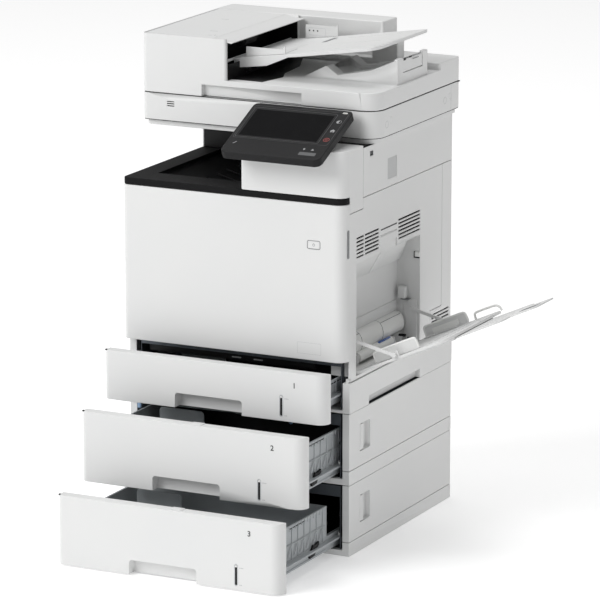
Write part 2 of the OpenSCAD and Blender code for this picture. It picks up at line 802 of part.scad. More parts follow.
// Ledge and floor pan of the scanner, with the carriage's rail
module scanner_base() {
    color(white) {
        difference() {
            union() {
                prism([-sw + 7, scan_front + 7, z_ledge], [sw - 7, scan_back - 5, z_scan], [8, 34, 6, 6]);
                prism([-sw + wall + 1, scan_front + wall + 1, z_scan - eps],
                      [sw - wall - 1, scan_back - wall - 1, z_scan + 4], [8, 34, 6, 6]);
            }
            block([-sw + 40, scan_front + 40, z_ledge - 1], [sw - 60, scan_back - 40, z_scan]);
        }
        for (x = [-sw + wall + 6, sw - wall - 18])
            block([x, rail_y - 8, z_scan + 3], [x + 12, rail_y + 8, scan_rail_z + 6]);
        rod_x(rail_y, scan_rail_z, 4, -sw + wall + 8, sw - wall - 8);
    }
}

module scanner_case() {
    top_t = 6;
    color(white) difference() {
        prism([-sw, scan_front, z_scan + seam], [sw, scan_back, z_lid], case_radii);
        prism([-sw + wall, scan_front + wall, z_scan], [sw - wall, scan_back - wall, z_lid - top_t],
              [9, 35, 7, 7]);
        glass_panes(-0.2, glass_t + 0.4);
        for (x = [[glass_x0, glass_w], [strip_x0, strip_w]])
            block([x[0] + 4, glass_y0 + 4, z_lid - 10],
                  [x[0] + x[1] - 4, glass_y0 + glass_d - 4, z_lid + 1]);
        for (k = [0:2])
            block([-202, scan_front - 1, z_lid - 24.5 + 4.4 * k],
                  [-186, scan_front + wall + 1, z_lid - 22.5 + 4.4 * k]);
        for (y = [scan_front + 66, scan_back - 48]) translate([sw - 0.6, y, z_scan + 30]) rotate([0, 90, 0])
            difference() {
                cylinder(r = 7, h = 2);
                translate([0, 0, -1]) cylinder(r = 6.3, h = 4);
            }
    }
}

// Panes grown by a clearance and set down from the top
module glass_panes(clearance, depth) {
    for (x = [[glass_x0, glass_w], [strip_x0, strip_w]])
        block([x[0] + clearance, glass_y0 + clearance, z_lid - depth],
              [x[0] + x[1] - clearance, glass_y0 + glass_d - clearance,
               z_lid + (clearance < 0 ? 1 : -0.3)]);
}

module platen_glass() {
    color("lightblue") glass_panes(0.2, glass_t);
}

module scan_carriage() {
    x0 = -sw + 44;
    color(dark) difference() {
        block([x0, glass_y0 - 30, z_scan + 10], [x0 + 60, glass_y0 + glass_d + 20, z_lid - 9]);
        block([x0 + 24, glass_y0, z_lid - 14], [x0 + 30, glass_y0 + glass_d, z_lid]);
        rod_x(rail_y, scan_rail_z, 4 + fit, x0 - 1, x0 + 61);
    }
}

// ---------------------------------------------------------------- document feeder
z_low = z_adf + adf_low_h;
z_rear = z_adf + 49;
z_high = z_adf + adf_high_h;
hump_x1 = -sw + adf_hump_w + 10;
hump_wall = 6;
rear_step_y = scan_back - 98;
hump_back_y = scan_back - 72;
strip_x1 = 118;
feed_cover_t = 4;
mouth_z = z_low + 3;
tray_pivot_x = hump_x1 - 16;
tray_pivot_z = z_adf + 68;
feed_roller_z = z_adf + 90;
feed_roller_x = hump_x1 - 46;
wing_x1 = sw - 6;
wing_y0 = -45;
wing_y1 = 95;
stopper_y0 = -18;
stopper_y1 = 70;
stopper_z0 = z_adf + 56;
lid_sheet_t = 3;

// Lid with its platforms, the feeding housing, the rear strip and the output ramps
module document_feeder() {
    color(white) difference() {
        union() {
            prism([-sw, scan_front, z_adf], [sw, scan_back, z_low], case_radii);
            prism([-sw, rear_step_y, z_adf], [sw, scan_back, z_rear], [0, 4, 10, 10]);
            prism([-sw, scan_front, z_adf], [hump_x1, scan_back, z_high], [12, 6, 0, 10]);
            prism([-sw, hump_back_y + 6, z_adf], [strip_x1, scan_back, z_high], [0, 5, 5, 10]);
            block([107, rear_step_y, z_low], [163, hump_back_y + 8, z_adf + 86]);
            output_ramps();
        }
        // Hollow from below, under each platform
        block([-sw + wall, scan_front + wall + 14, z_adf - 1],
              [sw - wall - 8, scan_back - wall, z_low - wall]);
        block([-sw + wall, hump_back_y + 6 + wall, z_adf + 10],
              [sw - wall - 8, scan_back - wall, z_rear - wall]);
        block([-sw + wall, hump_back_y + 6 + wall, z_adf + 10],
              [strip_x1 - wall, scan_back - wall, z_high - wall]);
        // Inside of the housing, open to the right and on top
        block([-sw + hump_wall, scan_front + hump_wall, mouth_z], [hump_x1 + 1, hump_back_y, z_high + 1]);
        // Rebate for the feed cover
        block([-sw + 3.5, scan_front + hump_wall - 2, z_high - feed_cover_t - 0.6],
              [hump_x1 + 1, hump_back_y + 2, z_high + 1]);
        lip_z = z_high - feed_cover_t - 0.6;
        along_y(scan_front + hump_wall - 2, hump_back_y + 2)
            polygon([[hump_x1 - 30, lip_z + 1], [hump_x1 - 30, lip_z],
                [hump_x1 + 2, lip_z - 4.4], [hump_x1 + 2, lip_z + 1]]);
        rod_y(cover_pivot_x, cover_pivot_z, 7.6, scan_front + hump_wall - 2, hump_back_y + 2);
        // Lifting grip under the front edge
        block([-124, scan_front - 1, z_adf - 1], [93, scan_front + 12, z_adf + 23]);
        rod_y(tray_pivot_x, tray_pivot_z, shaft_r + fit, scan_front + 2, hump_back_y + 4);
        rod_y(feed_roller_x, feed_roller_z, shaft_r + fit, scan_front + 2, hump_back_y + 4);
        rod_y(cover_pivot_x, cover_pivot_z, 2 + fit, scan_front + 2, hump_back_y + 4);
        // Window of the paper stopper
        block([wing_x1 - 9, stopper_y0 - 1, stopper_z0 - 1], [wing_x1 + 1, stopper_y1 + 1, z_adf + 90]);
        rod_y(wing_x1 - 2.5, stopper_z0 + 2.5, 1.5 + fit, stopper_y0 - 5, stopper_y1 + 5);
    }
}

// Two wing-shaped ramps, a lower one between them, and the end wall
module output_ramps() {
    rise = 50;
    along_y(wing_y0, wing_y0 + 30) wing_profile(1);
    along_y(wing_y0 + 29, wing_y1 - 29) wing_profile(0.35);
    along_y(wing_y1 - 30, wing_y1) wing_profile(1);
    block([wing_x1 - 8, wing_y0, z_low - 1], [wing_x1, wing_y1, z_low + rise]);
}

module wing_profile(share) {
    polygon([[44, z_low - 1], [44, z_low], [97, z_low + 27 * share], [121, z_low + 10 * share],
             [190, z_low + 24 * share], [wing_x1 - 1, z_low + 50 * share], [wing_x1 - 1, z_low - 1]]);
}

module platen_sheet() {
    color("white") block([glass_x0 - 12, glass_y0 - 12, z_adf - 1.2],
        [glass_x0 + glass_w + 12, glass_y0 + glass_d + 12, z_adf + lid_sheet_t]);
}

cover_pivot_x = -sw + 12;
cover_pivot_z = z_high - 3.6;

// Feed cover with a lip that slopes down over the mouth
module feed_cover() {
    y0 = scan_front + hump_wall - 1.2;
    y1 = hump_back_y + 1.2;
    x0 = cover_pivot_x - 6;
    top = z_high;
    bottom = z_high - feed_cover_t;
    color(white) {
        difference() {
            along_y(y0, y1) polygon([[x0, bottom], [hump_x1 - 28, bottom], [hump_x1 + 9, bottom - 5],
                [hump_x1 + 12, bottom - 2.4], [hump_x1 - 28, top], [x0, top]]);
            block([hump_x1 - 29.2, y0 - 1, top - 0.8], [hump_x1 - 28, y1 + 1, top + 1]);
        }
        rod_y(cover_pivot_x, cover_pivot_z, 2, scan_front + 3, hump_back_y + 3);
    }
}

doc_y0 = -95;
doc_y1 = 145;
doc_x1 = 230;
doc_bend_x = 58;

// Height of the document tray's top at a place along X
function doc_top(x) = x < doc_bend_x
    ? z_adf + 90 + (x - doc_bend_x) * 18 / 136
    : z_adf + 90 + (x - doc_bend_x) * 26 / 172;

module document_tray() {
    x0 = tray_pivot_x + 4;
    t = 6;
    color(white) {
        intersection() {
            along_y(doc_y0, doc_y1) polygon([[x0, doc_top(x0)], [doc_bend_x, doc_top(doc_bend_x)],
                [doc_x1, doc_top(doc_x1)], [doc_x1, doc_top(doc_x1) - t],
                [doc_bend_x, doc_top(doc_bend_x) - t], [x0, doc_top(x0) - t]]);
            prism([x0, doc_y0, z_low], [doc_x1, doc_y1, z_high + 5], [0, 26, 10, 0]);
        }
        // Skirt along the front edge
        along_y(doc_y0, doc_y0 + 4) polygon([[x0, doc_top(x0) - 20], [-10, doc_top(-10) - 20],
            [40, doc_top(40) - 5], [40, doc_top(40) - 1], [x0, doc_top(x0) - 1]]);
        // Pivot pins on two cheeks
        rod_y(tray_pivot_x, tray_pivot_z, shaft_r, scan_front + 3, hump_back_y + 3);
        for (y = [doc_y0 + 4, doc_y1 - 8])
            block([tray_pivot_x, y, tray_pivot_z - 3], [x0 + 14, y + 4, tray_pivot_z + 2.5]);
    }
}

// Document guide: a fence that follows the tray's slope
module document_guide(y, x0, x1, h) {
    along_y(y, y + 3) polygon([[x0, doc_top(x0) + run_gap], [x1, doc_top(x1) + run_gap],
        [x1, doc_top(x1) + h * 0.8], [x1 - 6, doc_top(x0) + h], [x0, doc_top(x0) + h]]);
}

module document_front_guide() { color(white) document_guide(doc_y0 + 6, -58, 28, 20); }
module document_rear_guide() { color(white) document_guide(doc_y1 - 6, -40, 32, 28); }

module feed_roller() {
    color(dark) {
        rod_y(feed_roller_x, feed_roller_z, shaft_r, scan_front + 3, hump_back_y + 3);
        rod_y(feed_roller_x, feed_roller_z, 13, 0, 50);
    }
}

// Small flap in the end wall for long sheets
module paper_stopper() {
    color(white) {
        block([wing_x1 - 4.5, stopper_y0, stopper_z0 + 1], [wing_x1 - 1, stopper_y1, stopper_z0 + 24]);
        rod_y(wing_x1 - 2.5, stopper_z0 + 2.5, 1.5, stopper_y0 - 4, stopper_y1 + 4);
    }
}

// ---------------------------------------------------------------- operation panel
panel_x = 4;
panel_y = -328;
panel_z = z_ledge - 1;
panel_hinge_local = [80, -panel_t - 5];
panel_hinge_y = panel_y + panel_hinge_local[0] * cos(panel_tilt) - panel_hinge_local[1] * sin(panel_tilt);
panel_hinge_z = panel_z + panel_hinge_local[0] * sin(panel_tilt) + panel_hinge_local[1] * cos(panel_tilt);
screen_x0 = 14;
screen_x1 = 182;
screen_y0 = 60;
screen_y1 = 150;
screen_t = 2;

module at_panel() {
    translate([panel_x, panel_y, panel_z]) rotate([panel_tilt, 0, 0]) children();
}

module panel_housing() {
    color(dark) at_panel() {
        difference() {
            prism([0, 0, -panel_t], [panel_w, panel_d, 0], [14, 14, 10, 10]);
            block([screen_x0, screen_y0, -screen_t], [screen_x1, screen_y1, 1]);
            block([8, 8, -panel_t + 3], [panel_w - 8, panel_d - 8, -5]);
            block([20, 20, -panel_t - 1], [44, 60, -panel_t + 4]);
        }
        rod_x(panel_hinge_local[0], panel_hinge_local[1], 5, 60, panel_w - 60);
        block([60, panel_hinge_local[0] - 5, panel_hinge_local[1]],
              [panel_w - 60, panel_hinge_local[0] + 5, -panel_t + 0.5]);
        rod_x(panel_hinge_local[0], panel_hinge_local[1], pin_r, 51, panel_w - 51);
    }
}

module touch_screen() {
    color("black") at_panel()
        block([screen_x0 + 0.2, screen_y0 + 0.2, -screen_t], [screen_x1 - 0.2, screen_y1 - 0.2, 0]);
}

// ---------------------------------------------------------------- inside the main unit
inner_y0 = -hd + 8 + sheet;
inner_y1 = frame_rear - sheet;
laser_z = z_body + 58;
toner_z = z_body + 130;
belt_z = z_body + 222;

module laser_unit() {
    color(dark) {
        block([-185, inner_y0, laser_z], [148, inner_y1, laser_z + 50]);
        for (k = [0:3])
            block([-160 + 78 * k, inner_y0 + 20, laser_z + 49],
                  [-148 + 78 * k, inner_y1 - 20, laser_z + 54]);
    }
}

// Four toner cartridges side by side, with their front grips
module toner_cartridges() {
    w = 70;
    h = 76;
    color(dark) for (k = [0:3]) {
        x = -180 + 78 * k;
        along_y(inner_y0 + 6, inner_y1) outline([x, toner_z], [x + w, toner_z + h], [6, 6, 20, 20]);
        along_y(inner_y0 - 12, inner_y0 + 7)
            outline([x + 10, toner_z + 20], [x + w - 10, toner_z + 52], [5, 5, 5, 5]);
    }
}

module transfer_belt() {
    y0 = inner_y0;
    y1 = inner_y1;
    color(dark) difference() {
        union() {
            along_y(y0 + 8, y1 - 8) outline([-184, belt_z], [146, belt_z + 22], [11, 11, 11, 11]);
            for (x = [-173, 135]) rod_y(x, belt_z + 11, 5, y0, y1);
        }
        along_y(y0 + 7, y1 - 7) outline([-182, belt_z + 2], [144, belt_z + 20], [9, 9, 9, 9]);
    }
    color(steel) for (x = [-173, 135]) rod_y(x, belt_z + 11, 9.1, y0 + 8, y1 - 8);
}

module fixing_unit() {
    z = z_body + 250;
    color(steel) difference() {
        block([152, inner_y0, z], [recess_x - 6, inner_y1, z + 64]);
        block([156, inner_y0 + 10, z - 1], [recess_x - 10, inner_y1 - 10, z + 60]);
    }
    color(dark) for (x = [162, 180]) rod_y(x, z + 30, 8.8, inner_y0 + 4, inner_y1 - 4);
}

module drive_motor() {
    z = z_body + 110;
    color(steel) {
        translate([-40, frame_rear, z]) rotate([-90, 0, 0]) cylinder(r = 34, h = 4);
        translate([-40, frame_rear, z]) rotate([-90, 0, 0]) cylinder(r = 27, h = 42);
        translate([-40, frame_rear, z]) rotate([-90, 0, 0]) cylinder(r = 9, h = 50);
    }
}

// Power supply board with its transformer and capacitors
module power_supply() {
    x0 = 20;
    z0 = z_body + 90;
    color("green") {
        block([x0, frame_rear + 6, z0], [x0 + 120, frame_rear + 7.6, z0 + 150]);
        for (x = [x0 + 6, x0 + 114]) for (z = [z0 + 6, z0 + 144])
            translate([x, frame_rear, z]) rotate([-90, 0, 0]) cylinder(r = 3, h = 6 + eps);
    }
    color(dark) {
        block([x0 + 20, frame_rear + 7, z0 + 20], [x0 + 66, frame_rear + 40, z0 + 60]);
        for (k = [0:2])
            translate([x0 + 88, frame_rear + 7, z0 + 30 + 30 * k]) rotate([-90, 0, 0])
                cylinder(r = 10, h = 30);
    }
}

inlet_x = -180;
inlet_z = z_body + 40;

module power_inlet() {
    color(dark) difference() {
        union() {
            block([inlet_x - 13.8, back_y - 26, inlet_z - 10.3],
                  [inlet_x + 13.8, back_y - eps, inlet_z + 10.3]);
            block([inlet_x - 18, back_y - wall - 4, inlet_z - 14],
                  [inlet_x + 18, back_y - wall, inlet_z + 14]);
        }
        block([inlet_x - 11, back_y - 18, inlet_z - 7.5], [inlet_x + 11, back_y + 1, inlet_z + 7.5]);
    }
    color(steel) for (dx = [-6, 0, 6])
        block([inlet_x + dx - 1, back_y - 19, inlet_z - 2], [inlet_x + dx + 1, back_y - 3, inlet_z + 2]);
}

// Countersunk screws of the rear covers, all alike
module screw(x, y, z) {
    translate([x, y, z]) rotate([-90, 0, 0]) {
        translate([0, 0, -8]) cylinder(r = 1.9, h = 8 + eps);
        difference() {
            cylinder(r = 4, h = 2);
            translate([-2.4, -0.5, 1]) cube([4.8, 1, 2]);
            translate([-0.5, -2.4, 1]) cube([1, 4.8, 2]);
        }
    }
}

module screws() {
    color(steel) {
        for (z = [0, z_upper]) for (x = [-hw + 60, 0, hw - 60])
            for (dz = [20, feeder_h - base_wall_h - 2 * seam - 20])
                screw(x, hd, z + base_wall_h + seam + dz);
        for (x = [-160, 0, 160]) for (z = [z_body + seam + 60, frame_top - 60]) screw(x, back_y, z);
    }
}

feeder_bases();
feeder_frames();
feeder_left_covers();
feeder_rear_covers();
upper_feeder_door();
lower_feeder_door();
base_tray();
main_frame();
left_cover();
rear_cover();
upper_right_cover();
right_door();
front_cover();
power_button();
control_column();
output_tray();
delivery_housing();
drawer_1_tray();
drawer_1_front();
drawer_1_lift_plate();
drawer_1_guide();
drawer_2_tray();
drawer_2_front();
drawer_2_lift_plate();
drawer_2_guide();
drawer_3_tray();
drawer_3_front();
drawer_3_lift_plate();
drawer_3_guide();
pickup_roller_1();
pickup_roller_2();
pickup_roller_3();
bypass_tray();
bypass_extension();
bypass_front_guide();
bypass_rear_guide();
bypass_arms();
bypass_roller();
scanner_base();
scanner_case();
platen_glass();
scan_carriage();
document_feeder();
platen_sheet();
feed_cover();
document_tray();
document_front_guide();
document_rear_guide();
feed_roller();
paper_stopper();
panel_housing();
touch_screen();
laser_unit();
toner_cartridges();
transfer_belt();
fixing_unit();
drive_motor();
power_supply();
power_inlet();
screws();
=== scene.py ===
"""The looks of a floor-standing photocopier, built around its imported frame.

Every class below is one sub-assembly: it holds its sizes in millimetres and
builds its own pieces, which ride on the frame's bodies.
"""

import json
import logging
import math
from dataclasses import dataclass, field
from enum import Enum
from typing import Iterable, Sequence

import bmesh
import bpy
from mathutils import Matrix, Vector

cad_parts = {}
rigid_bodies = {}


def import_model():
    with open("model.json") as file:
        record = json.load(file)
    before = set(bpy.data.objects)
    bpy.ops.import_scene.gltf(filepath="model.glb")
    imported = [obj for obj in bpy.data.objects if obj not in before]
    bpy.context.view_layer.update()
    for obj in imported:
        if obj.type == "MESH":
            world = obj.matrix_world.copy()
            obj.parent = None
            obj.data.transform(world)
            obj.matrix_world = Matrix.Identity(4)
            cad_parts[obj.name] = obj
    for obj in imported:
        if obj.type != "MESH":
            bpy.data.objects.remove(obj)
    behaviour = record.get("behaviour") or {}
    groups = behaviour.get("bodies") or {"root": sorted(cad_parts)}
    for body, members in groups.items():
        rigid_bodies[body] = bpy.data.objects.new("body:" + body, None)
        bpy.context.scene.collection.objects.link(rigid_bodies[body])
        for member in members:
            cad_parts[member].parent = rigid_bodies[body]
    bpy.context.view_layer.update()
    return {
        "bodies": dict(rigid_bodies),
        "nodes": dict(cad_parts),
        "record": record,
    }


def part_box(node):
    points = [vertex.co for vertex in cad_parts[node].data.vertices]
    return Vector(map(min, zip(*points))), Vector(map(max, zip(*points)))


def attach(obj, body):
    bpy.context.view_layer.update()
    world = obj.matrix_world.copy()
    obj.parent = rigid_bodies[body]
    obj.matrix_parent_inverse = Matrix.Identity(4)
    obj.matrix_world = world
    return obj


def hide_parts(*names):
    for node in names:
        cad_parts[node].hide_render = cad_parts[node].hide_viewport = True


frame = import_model()

LOG = logging.getLogger("photocopier")
MM = 0.001
WELD = 1e-6
FLAT_ANGLE = math.radians(0.6)
SHARP_ANGLE = math.radians(32.0)
SMOOTH_ANGLE = math.radians(34.0)
GLASS_IOR = 1.52
ROOM_PER_RADIUS = 2.3
FIGURE_PER_SIZE = 0.7

Point = tuple[float, float, float]
Spot = tuple[float, float]
Outline = Sequence[Spot]
Plane = Matrix
Mesh = bmesh.types.BMesh
Socket = bpy.types.NodeSocket


# ---------------------------------------------------------------- finishes


def linear(code: str) -> tuple[float, float, float, float]:
    """Turns an sRGB hex code into the linear colour that a shader reads.

    Args:
        code: six hex digits with a leading #.

    Returns:
        Linear red, green, blue and an alpha of one.
    """
    parts = [int(code[i : i + 2], 16) / 255.0 for i in (1, 3, 5)]
    curved = [c / 12.92 if c <= 0.04045 else ((c + 0.055) / 1.055) ** 2.4 for c in parts]
    return (curved[0], curved[1], curved[2], 1.0)


class Shading:
    """A material's nodes while they are laid out."""

    def __init__(self, name: str) -> None:
        """Starts an empty material.

        Args:
            name: the material's name.
        """
        self.material = bpy.data.materials.new(name)
        self.material.use_nodes = True
        self.tree = self.material.node_tree
        self.tree.nodes.clear()
        self.place = self.add("TexCoord").outputs["Object"]

    def add(self, kind: str, inputs: dict | None = None, **settings: object) -> bpy.types.Node:
        """Adds a node, sets it up and links it.

        Args:
            kind: the node's type without the ShaderNode prefix.
            inputs: its sockets by name or number, each a value or another node's socket.
            settings: the node's own properties.

        Returns:
            The new node.
        """
        node = self.tree.nodes.new("ShaderNode" + kind)
        for name, value in settings.items():
            setattr(node, name, value)
        for key, value in (inputs or {}).items():
            if isinstance(value, Socket):
                self.tree.links.new(value, node.inputs[key])
            else:
                node.inputs[key].default_value = value
        return node

    def noise(self, size_mm: float, detail: float, **more: object) -> Socket:
        """Returns a noise whose features are about size_mm wide; more holds other inputs."""
        inputs = {"Vector": self.place, "Scale": 1.0 / (size_mm * MM), "Detail": detail, **more}
        return self.add("TexNoise", inputs).outputs["Fac"]

    def mix(self, share: Socket, tone: str, drift: str) -> Socket:
        """Returns a colour between two hex codes."""
        ends = {0: share, 6: linear(tone), 7: linear(drift)}
        return self.add("Mix", ends, data_type="RGBA").outputs[2]

    def spread(self, share: Socket, low: float, high: float) -> Socket:
        """Returns a value that runs from low to high."""
        return self.add("MapRange", {"Value": share, "To Min": low, "To Max": high}).outputs[0]

    def bump(self, height: Socket, distance: float, strength: float) -> Socket:
        """Returns a normal raised by a pattern, its distance in metres."""
        inputs = {"Height": height, "Distance": distance, "Strength": strength}
        return self.add("Bump", inputs).outputs[0]

    def surface(self, inputs: dict) -> bpy.types.Material:
        """Closes the tree with a shader that has these inputs and returns the material."""
        shader = self.add("BsdfPrincipled", inputs)
        self.add("OutputMaterial", {"Surface": shader.outputs[0]})
        return self.material


@dataclass(frozen=True)
class Moulded:
    """Injection-moulded plastic with a spark-eroded grain from its tool.

    The eye sees a soft sheen broken up by the grain, and a slight drift of
    tone across a big panel where the melt flowed.
    """

    name: str
    tone: str
    drift: str
    roughness: float
    grain_mm: float = 1.1
    depth_mm: float = 0.02
    drift_mm: float = 160.0
    ior: float = 1.54
    specular: float = 0.5
    speck: float = 0.35
    unevenness: float = 0.06

    def build(self) -> bpy.types.Material:
        """Returns the finish as a material."""
        shade = Shading(self.name)
        flow = shade.noise(self.drift_mm, 2.0)
        grain = shade.noise(self.grain_mm, 5.0, Roughness=0.62)
        centred = {0: grain, 1: self.speck, 2: -self.speck / 2.0}
        speck = shade.add("Math", centred, operation="MULTIPLY_ADD").outputs[0]
        blend = shade.add("Math", {0: flow, 1: speck}, operation="ADD", use_clamp=True).outputs[0]
        low, high = self.roughness - self.unevenness, self.roughness + self.unevenness
        return shade.surface({
            "Base Color": shade.mix(blend, self.tone, self.drift),
            "Roughness": shade.spread(grain, low, high),
            "IOR": self.ior,
            "Specular IOR Level": self.specular,
            "Normal": shade.bump(grain, self.depth_mm * MM * 10.0, 0.35),
        })


@dataclass(frozen=True)
class PlatedSheet:
    """Zinc-plated steel sheet, rolled and pressed.

    The eye sees a dull grey metal with blurred reflections, faint rolling
    lines along one way and patches where the plating is thicker.
    """

    name: str
    tone: str
    drift: str
    roughness: float
    line_mm: float = 0.8
    patch_mm: float = 22.0
    metallic: float = 1.0

    def build(self) -> bpy.types.Material:
        """Returns the finish as a material."""
        shade = Shading(self.name)
        patch = shade.noise(self.patch_mm, 3.0)
        along = shade.add("Mapping", {"Vector": shade.place, "Scale": (1.0, 0.06, 1.0)})
        lines = shade.noise(self.line_mm, 2.0, Vector=along.outputs[0])
        return shade.surface({
            "Base Color": shade.mix(patch, self.tone, self.drift),
            "Metallic": self.metallic,
            "Roughness": shade.spread(patch, self.roughness - 0.08, self.roughness + 0.1),
            "Normal": shade.bump(lines, 0.00008, 0.3),
        })


@dataclass(frozen=True)
class GroundRubber:
    """Ground roller rubber.

    The eye sees an almost black, dry surface with a fine ground grain.
    """

    name: str
    tone: str
    drift: str
    roughness: float = 0.78
    grain_mm: float = 0.9

    def build(self) -> bpy.types.Material:
        """Returns the finish as a material."""
        shade = Shading(self.name)
        grain = shade.noise(self.grain_mm, 6.0)
        return shade.surface({
            "Base Color": shade.mix(grain, self.tone, self.drift),
            "Roughness": self.roughness,
            "IOR": GLASS_IOR,
            "Normal": shade.bump(grain, 0.0003, 0.5),
        })


@dataclass(frozen=True)
class GlossPane:
    """Toughened cover glass, printed black on its back.

    The eye sees a deep black pane with sharp reflections, slightly softened
    where fingers have wiped it.
    """

    name: str
    tone: str
    drift: str
    roughness: float = 0.1
    smear_mm: float = 24.0

    def build(self) -> bpy.types.Material:
        """Returns the finish as a material."""
        shade = Shading(self.name)
        smear = shade.noise(self.smear_mm, 4.0, Distortion=1.2)
        return shade.surface({
            "Base Color": shade.mix(smear, self.tone, self.drift),
            "Roughness": shade.spread(smear, self.roughness - 0.03, self.roughness + 0.12),
            "IOR": GLASS_IOR,
            "Specular IOR Level": 0.1,
        })


@dataclass(frozen=True)
class ClearGlass:
    """Float glass of the platen.

    The eye sees through it, with a green cast in its edge and sharp
    reflections that fade a little where the glass is wiped.
    """

    name: str
    tone: str
    drift: str
    smear_mm: float = 40.0

    def build(self) -> bpy.types.Material:
        """Returns the finish as a material."""
        shade = Shading(self.name)
        smear = shade.noise(self.smear_mm, 3.0)
        return shade.surface({
            "Base Color": shade.mix(smear, self.tone, self.drift),
            "Roughness": shade.spread(smear, 0.01, 0.05),
            "IOR": GLASS_IOR,
            "Transmission Weight": 0.92,
        })


@dataclass(frozen=True)
class ScreenInk:
    """Silk-screened ink on plastic.

    The eye sees a thin matte film whose tone breaks up a little with the mesh
    of the screen.
    """

    name: str
    tone: str
    drift: str
    roughness: float = 0.5
    mesh_mm: float = 0.6

    def build(self) -> bpy.types.Material:
        """Returns the finish as a material."""
        shade = Shading(self.name)
        mesh = shade.noise(self.mesh_mm, 2.0)
        colour = shade.mix(mesh, self.tone, self.drift)
        return shade.surface({"Base Color": colour, "Roughness": self.roughness, "IOR": 1.5})


@dataclass(frozen=True)
class CircuitBoard:
    """Glass-epoxy board under green solder mask.

    The eye sees satin green with slightly lighter copper tracks under it.
    """

    name: str
    tone: str
    drift: str
    track_mm: float = 3.0

    def build(self) -> bpy.types.Material:
        """Returns the finish as a material."""
        shade = Shading(self.name)
        inputs = {"Vector": shade.place, "Scale": 1.0 / (self.track_mm * MM)}
        tracks = shade.add("TexVoronoi", inputs, distance="CHEBYCHEV").outputs["Distance"]
        return shade.surface({
            "Base Color": shade.mix(tracks, self.tone, self.drift),
            "Roughness": 0.36,
            "IOR": 1.55,
            "Normal": shade.bump(tracks, 0.0002, 0.4),
        })


@dataclass(frozen=True)
class StudioFloor:
    """Backlit studio paper.

    The eye sees an even, almost white ground with a hardly visible tooth.
    """

    name: str = "studio_paper"
    glow: float = 0.3
    tooth_mm: float = 2.5

    def build(self) -> bpy.types.Material:
        """Returns the finish as a material."""
        shade = Shading(self.name)
        tooth = shade.noise(self.tooth_mm, 3.0)
        return shade.surface({
            "Base Color": shade.mix(tooth, "#F4F4F4", "#F0F0F0"),
            "Roughness": 0.9,
            "IOR": 1.45,
            "Emission Color": (1.0, 1.0, 1.0, 1.0),
            "Emission Strength": self.glow,
        })


